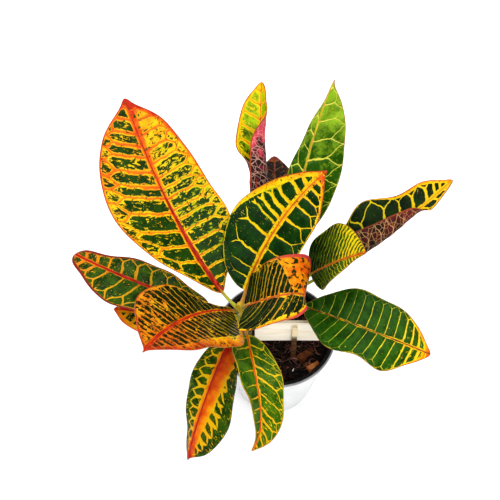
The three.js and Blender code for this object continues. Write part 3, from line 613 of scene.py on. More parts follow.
def vein_lines(tree, look):
    """What both faces need: the numbers from the mesh, two noises, and distances (mm) to the veins."""
    at = SimpleNamespace(blade=add(tree, "UVMap", uv_map="blade"))
    for key in ("rest", "edge", "band", "warm", "fleck", "gap", "halo", "thin", "along"):
        setattr(at, key, add(tree, "Attribute", attribute_name=key).outputs["Fac"])
    # slow waves of 9 mm and quick ones of 3 mm, between about -0.5 and 0.5
    slow, quick = [add(tree, "TexNoise", at.blade, MAP_MM / size, 2) for size in (9, 3)]
    at.slow = add(tree, "Math SUBTRACT", slow, 0.5)
    at.quick = add(tree, "Math SUBTRACT", quick, 0.5)
    # the running number of the vein, bent by both
    veins = add(tree, "SeparateXYZ", add(tree, "UVMap", uv_map="veins"))
    at.out = veins.outputs["Y"]
    shift = add(tree, "Math MULTIPLY", at.slow, look["wander"])
    shift = add(tree, "Math MULTIPLY_ADD", at.quick, look["wander"] / 4, shift)
    shift = add(tree, "Math DIVIDE", shift, at.gap)
    number = add(tree, "Math ADD", veins.outputs["X"], shift)
    nearest = add(tree, "Math ROUND", number)
    chance = add(tree, "TexWhiteNoise", nearest, noise_dimensions="1D")
    off = add(tree, "Math SUBTRACT", number, nearest)
    off = add(tree, "Math ABSOLUTE", off)
    # each vein forks a little earlier or later than the next
    out = add(tree, "Math SUBTRACT", at.out, 0.06)
    out = add(tree, "Math MULTIPLY_ADD", chance, 0.12, out)
    forked = add(tree, "MapRange", out, look["fork"], look["join"], 0, 0.5, **SOFT)
    off = add(tree, "Math SUBTRACT", off, forked)
    off = add(tree, "Math ABSOLUTE", off)
    at.distance = add(tree, "Math MULTIPLY", off, at.gap)
    # each is a little stronger or weaker too, and ends where its reach does
    wide = add(tree, "MapRange", at.out, 0, 1, *look["vein"], **SOFT)
    strong = add(tree, "MapRange", chance, 0, 1, *look["even"], **SOFT)
    wide = add(tree, "Math MULTIPLY", wide, strong)
    ends = add(tree, "MapRange", out, look["reach"] + 0.1, look["reach"] - 0.08, -0.3, 1, **SOFT)
    wide = add(tree, "Math MULTIPLY", wide, ends)
    at.half = add(tree, "Math SUBTRACT", wide, at.thin)
    at.beyond = add(tree, "Math SUBTRACT", at.distance, at.half)
    # the rim goes from one colour to the other on its way to the tip
    to_tip = add(tree, "MapRange", at.along, 0.3, 0.9, **SOFT)
    at.rim = add(tree, "Mix", to_tip, *look["rim"], **COLOUR)
    return at


print("vein nodes ready")

# %% [markdown]
# Green shows where a point is far enough from veins, midrib and edge, and noise stretched along the
# veins breaks it into islands and flecks. Everything else takes a warm tone, which goes from yellow
# beside the green to orange and red further away.

# %% Green islands and warm ground
def green_islands(tree, look, at):
    """How deep (mm) a point lies inside an island, and its share of green from 0 to 1."""
    across_mm, along_mm = look["fleck_mm"]
    veinwise = add(tree, "UVMap", uv_map="veinwise")
    veinwise = add(tree, "Mapping", veinwise, None, None, (1, across_mm / along_mm, 1))
    spots = add(tree, "TexNoise", veinwise, MAP_MM / across_mm, 3, 0.65, None, 0.7)
    spots = add(tree, "Math SUBTRACT", spots, 0.5)
    spots = add(tree, "Math MULTIPLY", spots, 10)
    margin = add(tree, "MapRange", at.out, 0.68, 0.95, 0, look["margin"], **SOFT)
    free = add(tree, "Math SUBTRACT", at.fleck, margin)
    free = add(tree, "Math MULTIPLY_ADD", at.slow, 2, free)
    free = add(tree, "Math SUBTRACT", free, spots)
    free = add(tree, "Math MULTIPLY", free, 0.7)
    # outside veins and their halo, and away from midrib, edge and tip
    deep = add(tree, "Math SUBTRACT", at.beyond, at.halo)
    rest = add(tree, "Math MULTIPLY_ADD", at.slow, look["wobble"], at.rest)
    deep = add(tree, "Math MINIMUM", deep, rest)
    deep = add(tree, "Math MULTIPLY_ADD", at.quick, 1.2, deep)
    share = add(tree, "Math MINIMUM", deep, free)
    share = add(tree, "MapRange", share, -0.15, 0.35, **SOFT)
    # and stray green specks in the warm ground
    stray = add(tree, "TexNoise", at.blade, MAP_MM / look["stray_mm"], 3, 0.6, None, 0.6)
    stray = add(tree, "MapRange", stray, look["stray"], look["stray"] + 0.05, **SOFT)
    return deep, add(tree, "Math MAXIMUM", share, stray)


def skin_colour(tree, look, at, cloud):
    """Clouded green, paler near its border, on a ground from yellow to red."""
    deep, share = green_islands(tree, look, at)
    tone = add(tree, "Math MULTIPLY_ADD", at.quick, 0.4, cloud)
    tone = add(tree, "MapRange", tone, 0.28, 0.84, **SOFT)
    pale = add(tree, "MapRange", at.along, 0, 1, *look["pale"], **SOFT)
    tone = add(tree, "Math ADD", tone, pale)
    border = add(tree, "MapRange", deep, 1.2, 0.1, 0, 0.8, **SOFT)
    tone = add(tree, "Math MAXIMUM", tone, border)
    green = add(tree, "Mix", add(tree, "Clamp", tone), *look["green"], **COLOUR)
    near = add(tree, "MapRange", deep, 0, -2, 0, look["near"], **SOFT)
    away = add(tree, "Math MINIMUM", deep, 0)
    away = add(tree, "Math MULTIPLY_ADD", away, -look["depth"], near)
    warmth = add(tree, "Math MULTIPLY_ADD", at.slow, look["vary"], at.warm)
    warmth = add(tree, "Math ADD", warmth, away)
    ground = add(tree, "ValToRGB", warmth, stops=list(zip((0, 0.22, 0.46, 0.72, 1), look["ground"])))
    return add(tree, "Mix", share, ground, green, **COLOUR)


print("islands and ground ready")

# %% [markdown]
# The lines come on top of the skin: the side veins, the broad band of the midrib, and a thin reddish
# line along the edge. Then the face is complete: its wax gives one soft sheen over green and yellow
# alike, so the shine is low and the relief is what catches the light.

# %% Upper face
def draw_lines(tree, look, at, colour):
    """Lays side veins, the midrib's band and the line of the edge over a colour."""
    is_vein = add(tree, "Math MULTIPLY_ADD", at.quick, 0.3, at.beyond)
    is_vein = add(tree, "MapRange", is_vein, 0.22, -0.2, **SOFT)
    rooted = add(tree, "MapRange", at.rest, -look["root"] - 1.5, -look["root"] + 1.5, **SOFT)
    is_vein = add(tree, "Math MULTIPLY", is_vein, rooted)
    core = add(tree, "Mix", at.along, *look["core"], **COLOUR)
    near_band = add(tree, "MapRange", at.out, 0.3, 0, 0, 0.7, **SOFT)
    core = add(tree, "Mix", near_band, core, look["band"][1], **COLOUR)
    colour = add(tree, "Mix", is_vein, colour, core, **COLOUR)
    # the band has streaks of 1.2 mm along its length
    streak = add(tree, "Mapping", at.blade, None, None, (0.12, 1, 1))
    streak = add(tree, "TexNoise", streak, MAP_MM / 1.2, 2)
    streak = add(tree, "MapRange", streak, 0.4, 0.62, **SOFT)
    band = add(tree, "Mix", streak, *look["band"], **COLOUR)
    is_band = add(tree, "Math MULTIPLY_ADD", at.slow, 1.6, at.band)
    is_band = add(tree, "MapRange", is_band, 0.45, -0.35, **SOFT)
    colour = add(tree, "Mix", is_band, colour, band, **COLOUR)
    rim_mm = add(tree, "MapRange", at.along, 0.3, 0.9, *look["rim_mm"], **SOFT)
    is_rim = add(tree, "Math SUBTRACT", at.edge, rim_mm)
    is_rim = add(tree, "Math MULTIPLY_ADD", at.slow, 1.4, is_rim)
    is_rim = add(tree, "MapRange", is_rim, 0.4, -0.5, **SOFT)
    return add(tree, "Mix", is_rim, colour, at.rim, **COLOUR)


def upper_face(name, look):
    """Leaf skin under wax: deep colours with a soft sheen, rougher where a leaf is older."""
    material, tree, shader = new_finish(name + "_waxy_upper_face")
    at = vein_lines(tree, look)
    cloud = add(tree, "TexNoise", at.blade, MAP_MM / 14, 3)
    colour = draw_lines(tree, look, at, skin_colour(tree, look, at, cloud))
    rough = add(tree, "MapRange", cloud, 0.3, 0.7, *look["rough"])
    # veins are sunk; the skin's pores are far finer than 1.4 mm, and drawn as coarse as they need to show
    groove = add(tree, "MapRange", at.beyond, -0.5, 2.2, **SOFT)
    pores = add(tree, "TexNoise", at.blade, MAP_MM / 1.4, 2)
    height = add(tree, "Math MULTIPLY_ADD", pores, 0.2, groove)
    set_shader(shader, colour, roughness=rough, shine=0.05, height=height, strength=0.8, lift_mm=0.4)
    return material


print("upper face ready")

# %% [markdown]
# The underside is matt and paler, and there the veins stand out. On young red leaves it is wine red to
# brown with a fine net of pink veins. The rib piece is the stalk and the midrib together; it turns
# from the stalk's green to the midrib's red or yellow where the blade begins.

# %% Underside, cut edge and rib
def under_face(name, look):
    """Leaf skin without wax: dull and paler, with raised veins and a net of cells of about 5 mm."""
    material, tree, shader = new_finish(name + "_matt_underside")
    at = vein_lines(tree, look)
    cloud = add(tree, "TexNoise", at.blade, MAP_MM / 12, 4)
    turned = add(tree, "Math MULTIPLY_ADD", cloud, 0.9, at.along)
    turned = add(tree, "MapRange", turned, *look["under_turn"], **SOFT)
    colour = add(tree, "Mix", turned, *look["under"], **COLOUR)
    bend = add(tree, "TexNoise", at.blade, MAP_MM / 7, 2).outputs["Color"]
    bend = add(tree, "VectorMath SCALE", bend, 0.03)
    bent = add(tree, "VectorMath ADD", at.blade, bend)
    cells = add(tree, "TexVoronoi", bent, MAP_MM / 5.5, feature="DISTANCE_TO_EDGE")
    net = add(tree, "MapRange", cells, 0.06, 0.01, 0, 0.45, **SOFT)
    line = add(tree, "Math MULTIPLY", at.half, 0.5)
    line = add(tree, "Math SUBTRACT", at.distance, line)
    line = add(tree, "MapRange", line, 0.3, -0.2, 0, 0.85, **SOFT)
    lines = add(tree, "Math MAXIMUM", net, line)
    colour = add(tree, "Mix", lines, colour, look["under_vein"], **COLOUR)
    near_edge = add(tree, "MapRange", at.edge, 1.8, 0.5, **SOFT)
    colour = add(tree, "Mix", near_edge, colour, at.rim, **COLOUR)
    height = add(tree, "Math ADD", lines, cloud)
    set_shader(shader, colour, roughness=0.6, shine=0.06, height=height, strength=0.6, lift_mm=0.3)
    return material


def cut_edge(name, look):
    """The thin side of the blade, in the colours of its rim, so that the leaf has a drawn outline."""
    material, tree, shader = new_finish(name + "_blade_edge")
    cloud = add(tree, "TexNoise", add(tree, "UVMap", uv_map="blade"), MAP_MM / 5, 2)
    feed(shader, {"Base Color": add(tree, "Mix", cloud, *look["rim"], **COLOUR), "Roughness": 0.45})
    return material


def rib_finish(name, look, turn):
    """Smooth juicy stalk with fine streaks of 1.5 mm along it, which takes the midrib's colour at turn."""
    material, tree, shader = new_finish(name + "_stalk_and_midrib")
    along_rib = add(tree, "Attribute", attribute_name="along").outputs["Fac"]
    streak = add(tree, "Mapping", add(tree, "UVMap", uv_map="blade"), None, None, (0.1, 1, 1))
    streak = add(tree, "TexNoise", streak, MAP_MM / 1.5, 3)
    place = add(tree, "Math MULTIPLY_ADD", streak, 0.06, along_rib)
    turned = min(turn + 0.07, 0.9)
    tones = [add(tree, "ValToRGB", place, stops=[(0, stalk), (turn, stalk), (turned, band), (1, band)])
             for stalk, band in zip((look["stalk"], "#A8A438"), look["band"])]
    share = add(tree, "MapRange", streak, 0.4, 0.7, 0, 0.7, **SOFT)
    colour = add(tree, "Mix", share, *tones, **COLOUR)
    set_shader(shader, colour, roughness=0.38, shine=0.14, height=streak, strength=0.4, lift_mm=0.2)
    return material


print("underside, edge and rib finishes ready")

# %% [markdown]
# ## Making a leaf
# The blade starts as a flat grid with a point per millimetre or so. Its points are moved onto the
# surface, the skin between the veins is puffed up a little, and a Solidify modifier gives it half a
# millimetre of thickness with its own underside and edge. The rib is a second grid that is wrapped
# round into a tube: round at the stalk, and flat on top and deep below along the blade.

# %% Grid, attributes and rib
def flat_grid(name, rows, columns):
    """A grid primitive and, for each of its points, the place along it (0 to 1) and across it (-1 to 1)."""
    bpy.ops.mesh.primitive_grid_add(x_subdivisions=columns, y_subdivisions=rows, size=2)
    piece = named(name)
    x, y, _ = points_of(piece).T
    return piece, (y + 1) / 2, -x


def corners(piece):
    """For each face corner: its point, and the face that it belongs to."""
    point = np.empty(len(piece.data.loops), np.int32)
    piece.data.loops.foreach_get("vertex_index", point)
    sides = np.empty(len(piece.data.polygons), np.int32)
    piece.data.polygons.foreach_get("loop_total", sides)
    return point, np.repeat(np.arange(len(sides)), sides)


def give(piece, numbers, maps):
    """Stores one number per point under each name, and one UV map (per corner) under each name."""
    mesh = piece.data
    for key, values in numbers.items():
        mesh.attributes.new(key, "FLOAT", "POINT").data.foreach_set("value", values.astype(np.float32))
    mesh.uv_layers.remove(mesh.uv_layers[0])
    for key, uv in maps.items():
        mesh.uv_layers.new(name=key).uv.foreach_set("vector", uv.astype(np.float32).ravel())


def closed(t):
    """0 at both ends of a tube and 1 along it, so that the ends draw together."""
    return np.where((t < 1e-4) | (t > 1 - 1e-4), 0, 1)


STALK_MM, RIB_HALF_MM, RIB_TOP_MM, RIB_LOW_MM = 1.5, 1.15, 0.62, 1.6


def make_rib(name, leaf):
    """A tube with the radius STALK_MM that turns, over 10 mm, into a tapering rib of the other sizes."""
    tube, t, across = flat_grid(name + "_rib", rows=110, columns=14)
    total = leaf["stalk"] + leaf["blade"]
    mm = t * total
    q = np.clip((mm - leaf["stalk"]) / leaf["blade"], 0, 1)
    on_blade = np.clip((mm - leaf["stalk"] + 6) / 10, 0, 1)
    # the stalk swells where it leaves the stem, and a little where the blade begins
    stalk = STALK_MM + 0.9 * np.exp(-((mm - 4) / 5) ** 2) + 0.25 * np.exp(-((mm - leaf["stalk"]) / 3) ** 2)
    half = lerp(stalk, RIB_HALF_MM * (1 - 0.8 * q) ** 1.3 + 0.1, on_blade) * closed(t)
    top = lerp(stalk, RIB_TOP_MM - 0.2 * q, on_blade) * closed(t)
    low = lerp(stalk, RIB_LOW_MM * (1 - 0.82 * q) + 0.3, on_blade) * closed(t)
    angle = np.pi * across
    point, side, up = along(leaf, np.minimum(mm, total - 0.5))
    high = np.where(np.sin(angle) > 0, top, low)
    ring = side * (half * np.cos(angle))[:, None] + up * (high * np.sin(angle))[:, None]
    place_points(tube, point + ring)
    give(tube, {"along": t}, {"blade": np.stack([mm / MAP_MM, across * 0.05], 1)[corners(tube)[0]]})
    weld()
    turn_outward()
    return tube


print("leaf helpers ready")

# %% [markdown]
# Now the numbers that the material reads are worked out for each point and stored on the blade. A
# table of the pattern is read at the point's place along the blade. A corner of a face keeps the vein
# numbers of that face's half, because a face beside the midrib would otherwise mix both halves.

# %% Make a leaf
GRID_MM = 1.2
BLADE_MM = 0.5
PUFF_MM = 0.5
SUNK_MM = 0.15


def told(value, t, left):
    """Reads a number, a table of (place, value), or a pair of these for left and right, at t."""
    if isinstance(value, tuple):
        return np.where(left, *[told(one, t, left) for one in value])
    pairs = value if isinstance(value, list) else [(0, value)]
    return np.interp(t, *zip(*pairs))


def puffed(leaf, t, v, height_mm):
    """Points of the blade, raised by height_mm square to its surface."""
    step = 1e-3
    ahead = surface(leaf, np.clip(t + step, 0, 1), v) - surface(leaf, np.clip(t - step, 0, 1), v)
    normal = np.cross(ahead, surface(leaf, t, v + step) - surface(leaf, t, v - step))
    normal /= np.linalg.norm(normal, axis=1)[:, None] + 1e-9
    return surface(leaf, t, v) + normal * height_mm[:, None]


def make_blade(name, leaf, look):
    wide = max(leaf["left"]) + max(leaf["right"])
    rows, columns = int(leaf["blade"] / GRID_MM), int(wide / GRID_MM) // 2 * 2
    blade, u, c = flat_grid(name + "_blade", rows, columns)
    t = u - 0.75 * np.sin(2 * np.pi * u) / (2 * np.pi)  # closer rows at base and tip
    v = c * (0.75 + 0.25 * c ** 2)  # closer columns at the midrib
    left = v >= 0
    w = half_width(leaf, t, left)
    x, y = t * leaf["blade"], v * w
    from_rib = np.abs(y)
    edge = w - from_rib
    middle, border, warm, halo, thin, fleck, band, fade = [told(look[key], t, left) for key in (
        "middle", "edge", "warm", "halo", "thin", "fleck", "band_mm", "fade")]
    rest = np.minimum.reduce([from_rib - middle, edge - border, (1 - t) * leaf["blade"] - look["tip"]])
    warm = warm + look["warm_rib"] * np.exp(-from_rib / 7) + look["warm_edge"] * np.exp(-edge / 3)
    halves = [vein_number(leaf, look, x, y, half) for half in (0, 1)]
    number, out, gap, origin = [np.where(left, *pair) for pair in zip(*halves)]
    faded = np.clip((out - fade) / 0.2, 0, 1) * 1.5
    deep = np.clip(vein_distance(look, number, out, gap), 0, 9)
    puff = PUFF_MM * (1 - np.exp(-deep / 3)) * np.clip(edge / 6, 0, 1)
    place_points(blade, puffed(leaf, t, v, puff - SUNK_MM))
    point, face = corners(blade)
    half = (np.bincount(face, c[point]) < 0).astype(int)[face]
    number, out, _, origin = [np.where(half == 0, a[point], b[point]) for a, b in zip(*halves)]
    # 50 veins and 300 mm apart, the two halves don't repeat each other's noise
    give(blade, {"rest": rest, "edge": edge, "band": from_rib - band, "gap": gap, "halo": halo - faded,
                 "thin": thin + faded, "warm": np.clip(warm, 0, 1), "fleck": fleck, "along": t},
         {"blade": np.stack([x, y], 1)[point] / MAP_MM,
          "veins": np.stack([number + 50 * half, out], 1),
          "veinwise": np.stack([origin + 300 * half, from_rib[point]], 1) / MAP_MM})
    return blade


def make_leaf(name):
    leaf, look = LEAVES[name], LOOKS[name]
    blade = make_blade(name, leaf, look)
    for finish in (upper_face, under_face, cut_edge):
        blade.data.materials.append(finish(name, look))
    bpy.ops.object.modifier_add(type="SOLIDIFY")
    solid = blade.modifiers[-1]
    solid.thickness = BLADE_MM * MM
    solid.offset = 0
    solid.material_offset = 1
    solid.material_offset_rim = 2
    bpy.ops.object.modifier_apply(modifier=solid.name)
    rib = make_rib(name, leaf)
    rib.data.materials.append(rib_finish(name, look, leaf["stalk"] / (leaf["stalk"] + leaf["blade"])))
    piece = join([blade, rib], name + "_veined")
    bpy.ops.object.shade_smooth_by_angle(angle=math.radians(50))
    return settle(piece, name)


for name in LEAVES:
    print(name, len(make_leaf(name).data.polygons), "faces")

# %% [markdown]
# ## Stems
# The stems of a croton are woody and grey-brown at the foot and green at the top. Each fallen leaf
# leaves a pale crescent scar and a slight swelling. A grid is wrapped into a tube again, because the
# swellings then follow the bent axis. Leaves stand a golden angle apart on a stem, and so do the scars.

# %% Bark of the stems
def stem_bark():
    """Young corky bark: dull, with fine upright cracks, brown below and still green near the top."""
    material, tree, shader = new_finish("young_bark")
    place = add(tree, "TexCoord").outputs["Object"]
    height = add(tree, "SeparateXYZ", place).outputs["Z"]
    upright = add(tree, "Mapping", place, None, None, (1, 1, 0.3))
    cracks = add(tree, "TexNoise", upright, 1 / (1.5 * MM), 4)
    patch = add(tree, "TexNoise", place, 1 / (9 * MM), 2)
    green = add(tree, "MapRange", height, 90 * MM, 190 * MM)
    green = add(tree, "Math MULTIPLY_ADD", patch, 0.4, green)
    bark = add(tree, "ValToRGB", green, stops=[
        (0.1, "#4A3C30"), (0.4, "#5E5238"), (0.75, "#6A6A28"), (1, "#C4A41C")])
    scar = add(tree, "Attribute", attribute_name="scar").outputs["Fac"]
    colour = add(tree, "Mix", scar, bark, "#A89A78", **COLOUR)
    dark = add(tree, "MapRange", cracks, 0.35, 0.65, 0.45, 0)
    colour = add(tree, "Mix", dark, colour, "#3A3020", **COLOUR)
    set_shader(shader, colour, roughness=0.62, shine=0.15, height=cracks, strength=0.8, lift_mm=0.4)
    return material


BARK = stem_bark()
print("bark ready")

# %% Wrap and scar the stems
CAP = 0.03
CAP_MM = 5
FIRST_SCAR, LAST_SCAR, SCARS_APART = 96, 186, 6.4
GOLDEN_ANGLE = math.radians(137.5)
FIRST_STEM_SEED = 7


def make_stem(name, stem, seed):
    """A tube along the stem's axis; its last part, CAP of its length, is the rounded top."""
    rng = np.random.default_rng(seed)
    tube, t, across = flat_grid(name + "_woody", rows=150, columns=30)
    angle = np.pi * across
    run = np.clip(t * (1 + CAP), 0, 1) * (len(stem["axis"]) - 1)
    centre = catmull(stem["axis"], run)
    beyond = np.clip(t * (1 + CAP) - 1, 0, 1) / CAP
    centre[:, 2] += beyond * CAP_MM
    radius = np.interp(run, range(len(stem["radius"])), stem["radius"])
    scar = np.zeros(len(t))
    z = centre[:, 2]
    for i, scar_z in enumerate(np.arange(FIRST_SCAR, LAST_SCAR, SCARS_APART)):
        turn = i * GOLDEN_ANGLE + rng.uniform(0, 0.5)
        off = np.abs((angle - turn + np.pi) % (2 * np.pi) - np.pi)
        bulge = np.exp(-((z - scar_z) / 1.5) ** 2)
        radius = radius + 0.28 * bulge + 0.6 * bulge * np.exp(-(off / 0.6) ** 2)
        scar = np.maximum(scar, np.exp(-(z - scar_z - 0.7) ** 4) * np.exp(-(off / 0.55) ** 4))
    # two hundredths thinner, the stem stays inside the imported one
    radius = 0.98 * radius * np.sqrt(np.clip(1 - beyond ** 2, 0, 1)) * closed(t)
    place_points(tube, centre + np.stack([np.cos(angle), np.sin(angle), 0 * t], 1) * radius[:, None])
    give(tube, {"scar": scar}, {"bark": np.stack([t, across], 1)[corners(tube)[0]]})
    weld()
    turn_outward()
    bpy.ops.object.shade_smooth()
    tube.data.materials.append(BARK)
    return settle(tube, name)


for seed, (name, stem) in enumerate(STEMS.items(), FIRST_STEM_SEED):
    print("stem", name, len(make_stem("stem_" + name, stem, seed).data.polygons), "faces")

# %% [markdown]
# ## Two pots
# The white pot is thin moulded plastic that narrows towards its foot. The black nursery pot stands in
# it, and its rolled rim lies on the white one. Both are turned shapes, so each starts as a cone, and
# its walls are made by insetting the top and pushing it down. A small bevel rounds every sharp edge.

# %% Pot helpers
def pick_faces(piece, test):
    """In edit mode, selects the faces whose centre and normal pass the test."""
    bpy.ops.object.mode_set(mode="OBJECT")
    for group in (piece.data.vertices, piece.data.edges, piece.data.polygons):
        group.foreach_set("select", np.zeros(len(group), bool))
    for face in piece.data.polygons:
        face.select = test(face.center, face.normal)
    bpy.ops.object.mode_set(mode="EDIT")
    bpy.ops.mesh.select_mode(type="FACE")


def cone(name, foot_r, top_r, foot_z, top_z):
    bpy.ops.mesh.primitive_cone_add(vertices=144, radius1=foot_r * MM, radius2=top_r * MM,
                                    depth=(top_z - foot_z) * MM, location=(0, 0, (top_z + foot_z) / 2 * MM))
    bpy.ops.object.transform_apply(location=True)
    return named(name)


def inset(*widths_mm):
    for width_mm in widths_mm:
        bpy.ops.mesh.inset(thickness=width_mm * MM)


def push(z_mm, scale=1):
    """Extrudes what is selected up or down and makes it wider or narrower round the pot's axis."""
    bpy.ops.mesh.extrude_region_move(TRANSFORM_OT_translate={"value": (0, 0, z_mm * MM)})
    bpy.ops.transform.resize(value=(scale, scale, 1), center_override=(0, 0, 0))


def finish_pot(piece, bevel_mm, material, node):
    bpy.ops.mesh.select_all(action="DESELECT")
    bpy.ops.mesh.select_mode(type="EDGE")
    bpy.ops.mesh.edges_select_sharp(sharpness=math.radians(35))
    bpy.ops.mesh.bevel(offset=bevel_mm * MM, segments=4, affect="EDGES", clamp_overlap=True)
    turn_outward()
    bpy.ops.object.shade_smooth_by_angle(angle=math.radians(40))
    piece.data.materials.append(material)
    settle(piece, node)


print("pot helpers ready")

# %% [markdown]
# Both plastics are moulded polypropylene: satin, not glossy, with a very fine grain from the mould and
# a few faint scuffs. The white one has a slightly warm grey in it, and the black one shows light dust.
# The outermost part of the black rim carries a painted highlight in pale grey, so it gets a finish of its
# own.

# %% Moulded plastics
def moulded_plastic(name, dark, light, roughness, dust, shine):
    """Moulded polypropylene: an even colour under a satin skin, a little dusty."""
    material, tree, shader = new_finish(name)
    place = add(tree, "TexCoord").outputs["Object"]
    cloud = add(tree, "TexNoise", place, 1 / (30 * MM), 5, 0.6)
    tone = add(tree, "MapRange", cloud, 0.35, 0.65)
    colour = add(tree, "Mix", tone, dark, light, **COLOUR)
    speck = add(tree, "TexNoise", place, 1 / (2.5 * MM), 3)
    dusty = add(tree, "MapRange", speck, 0.6, 0.72, 0, dust)
    colour = add(tree, "Mix", dusty, colour, "#8A7A68", **COLOUR)
    rough = add(tree, "MapRange", cloud, 0.3, 0.7, roughness - 0.06, roughness + 0.08)
    # the mould's grain is finer than 0.1 mm, and drawn at 0.7 mm so that it shows
    grain = add(tree, "TexNoise", place, 1 / (0.7 * MM), 2)
    set_shader(shader, colour, rough, shine, height=grain, strength=0.25, lift_mm=0.08)
    return material


WHITE_PLASTIC = moulded_plastic("white_moulded_polypropylene", "#DCDEDE", "#E8E9E8", 0.42, 0.06, 0.4)
BLACK_PLASTIC = moulded_plastic("black_moulded_polypropylene", "#08080A", "#121214", 0.5, 0.12, 0.12)
# a pale grey painted highlight for the outermost edge of the black rim
RIM_EDGE_HIGHLIGHT = moulded_plastic("painted_highlight_on_the_rim_edge", "#7E7E84", "#A6A6AC", 0.5, 0.1, 0.3)
print("plastics ready")

# %% Turn the pots (mm)
POT_FOOT, POT_TOP, POT_HIGH = 39, 58.8, 97.7
POT_WALL, POT_LIP, POT_FLOOR = 1.7, 0.9, 3
pot = cone("pot_white", POT_FOOT, POT_TOP, 0, POT_HIGH)
pick_faces(pot, lambda at, normal: normal.z > 0.9)
inset(POT_WALL)
push(-POT_LIP)
push(POT_FLOOR + POT_LIP - POT_HIGH, (POT_FOOT - POT_WALL) / (POT_TOP - POT_WALL))
pick_faces(pot, lambda at, normal: normal.z < -0.9 and at.z < MM)
inset(3)
push(1.2, 0.98)
finish_pot(pot, 0.5, WHITE_PLASTIC, "pot")

LINER_FOOT, LINER_TOP, LINER_RIM = 36, 56, 60
LINER_LOW, RIM_LOW, RIM_HIGH = 6, 98, 100
RIM_ROLL, RIM_FLAT, LINER_WALL, RIM_SUNK, LINER_FLOOR = 1.5, 2.1, 1.6, 0.4, 1.2
liner = cone("nursery_pot_black", LINER_FOOT, LINER_TOP, LINER_LOW, RIM_LOW)
pick_faces(liner, lambda at, normal: normal.z > 0.9)
push(0, LINER_RIM / LINER_TOP)
push(RIM_HIGH - RIM_LOW)
inset(RIM_ROLL, RIM_FLAT)
push(-RIM_SUNK)
inset(LINER_WALL)
mouth = LINER_RIM - RIM_ROLL - RIM_FLAT - LINER_WALL
push(LINER_LOW + LINER_FLOOR + RIM_SUNK - RIM_HIGH, (LINER_FOOT - LINER_FLOOR) / mouth)
finish_pot(liner, 0.45, BLACK_PLASTIC, "nursery_pot")
liner.data.materials.append(RIM_EDGE_HIGHLIGHT)
# faces on the outermost 1.3 mm of the rim take the painted highlight
for face in liner.data.polygons:
    if math.hypot(face.center.x, face.center.y) > (LINER_RIM - 1.3) * MM:
        face.material_index = 1
print("pots:", len(pot.data.polygons), len(liner.data.polygons), "faces")

# %% [markdown]
# ## Bark compost
# Potting compost for house plants is mostly composted bark: near-black crumbs, longer red-brown chips
# and thin fibres, with the odd white grain of perlite. The bed is a grid that is laid round, wavy and
# crumbly. Chips are modelled once, as a rough split block, and copied many times with another size,
# turn and dent.

# %% Compost materials
def compost(name, colours, grain_mm, lift_mm):
    """Damp broken bark, fibre or perlite: matt, crumbly and mixed from four tones."""
    material, tree, shader = new_finish(name)
    place = add(tree, "TexCoord").outputs["Object"]
    crumb = add(tree, "TexNoise", place, 1 / (grain_mm * MM), 6, 0.65)
    patch = add(tree, "TexNoise", place, 1 / (11 * MM), 3)
    mixed = add(tree, "Math ADD", crumb, patch)
    mixed = add(tree, "MapRange", mixed, 0.7, 1.35)
    colour = add(tree, "ValToRGB", mixed, stops=list(zip((0, 0.4, 0.7, 1), colours)))
    set_shader(shader, colour, roughness=0.8, shine=0.1, height=crumb, strength=0.9, lift_mm=lift_mm)
    return material


BED = compost("damp_composted_bark", ("#040202", "#0A0605", "#180C0A", "#301812"), 2, 1.2)
CHIP_DARK = compost("dark_bark_chip", ("#0A0605", "#160E0A", "#2A1810", "#4E2E1E"), 1.6, 0.6)
CHIP_RED = compost("red_brown_bark_chip", ("#1C0C06", "#3A1A0E", "#5E3016", "#8A5026"), 1.4, 0.6)
CHIP_LIGHT = compost("light_bark_chip", ("#7A4420", "#A8602E", "#C87C44", "#E0A068"), 1.2, 0.4)
FIBRE = compost("root_fibre", ("#2A1814", "#4E302A", "#80564A", "#C09480"), 1.2, 0.2)
PERLITE = compost("perlite", ("#B8B4AC", "#D8D4CC", "#ECE8E0", "#F8F4EE"), 0.8, 0.3)
print("compost materials ready")

# %% Lay the bed (mm)
SOIL_R, SOIL_Z = 53.6, 90
SOIL_DEPTH, SOIL_TAPER = 79, 0.68


def ripples(x, y, rng, size, count=14):
    """A sum of a few waves in seeded directions, about as long as size, between -1 and 1 or so."""
    total = np.zeros_like(x)
    for _ in range(count):
        heading = rng.uniform(0, 2 * np.pi)
        per_mm = 2 * np.pi / (size * rng.uniform(0.6, 1.7))
        total += np.sin((x * np.cos(heading) + y * np.sin(heading)) * per_mm + rng.uniform(0, 6.3))
    return total / math.sqrt(count)


bed, t, across = flat_grid("soil_bed", rows=90, columns=200)
rng = np.random.default_rng(11)
x = SOIL_R * t ** 0.8 * np.cos(np.pi * across)
y = SOIL_R * t ** 0.8 * np.sin(np.pi * across)
lumps = 1.1 * ripples(x, y, rng, 22)
lumps += 0.7 * np.abs(ripples(x, y, rng, 7)) + 0.45 * np.abs(ripples(x, y, rng, 3.2))
# 1.5 mm higher in the middle, and 2.2 mm lower at the wall
z = SOIL_Z - 1.3 + lumps + 1.5 * (1 - t) - 2.2 * np.clip((t - 0.93) / 0.07, 0, 1)
place_points(bed, np.stack([x, y, z], 1))
give(bed, {}, {"bed": np.stack([x, y], 1)[corners(bed)[0]] / MAP_MM})
weld()
bpy.ops.mesh.select_all(action="DESELECT")
bpy.ops.mesh.select_mode(type="EDGE")
bpy.ops.mesh.select_non_manifold()
push(-SOIL_DEPTH, SOIL_TAPER)
bpy.ops.mesh.edge_face_add()
turn_outward()
bpy.ops.object.shade_smooth_by_angle(angle=math.radians(60))
bed.data.materials.append(BED)
settle(bed, "soil")
print("bed:", len(bed.data.polygons), "faces")

# %% [markdown]
# Chips are split, so each copy of the first one is squeezed flat, cut to a wedge and dented a little,
# and then tilted and turned. Random numbers come from seeds, so the bed is the same each time. Two
# large chips and one grain of perlite that the photograph shows are listed one by one.

# %% One chip, copied
CHIPS_R, FIBRES_R, HEAP_MM = 50, 46, 1.2


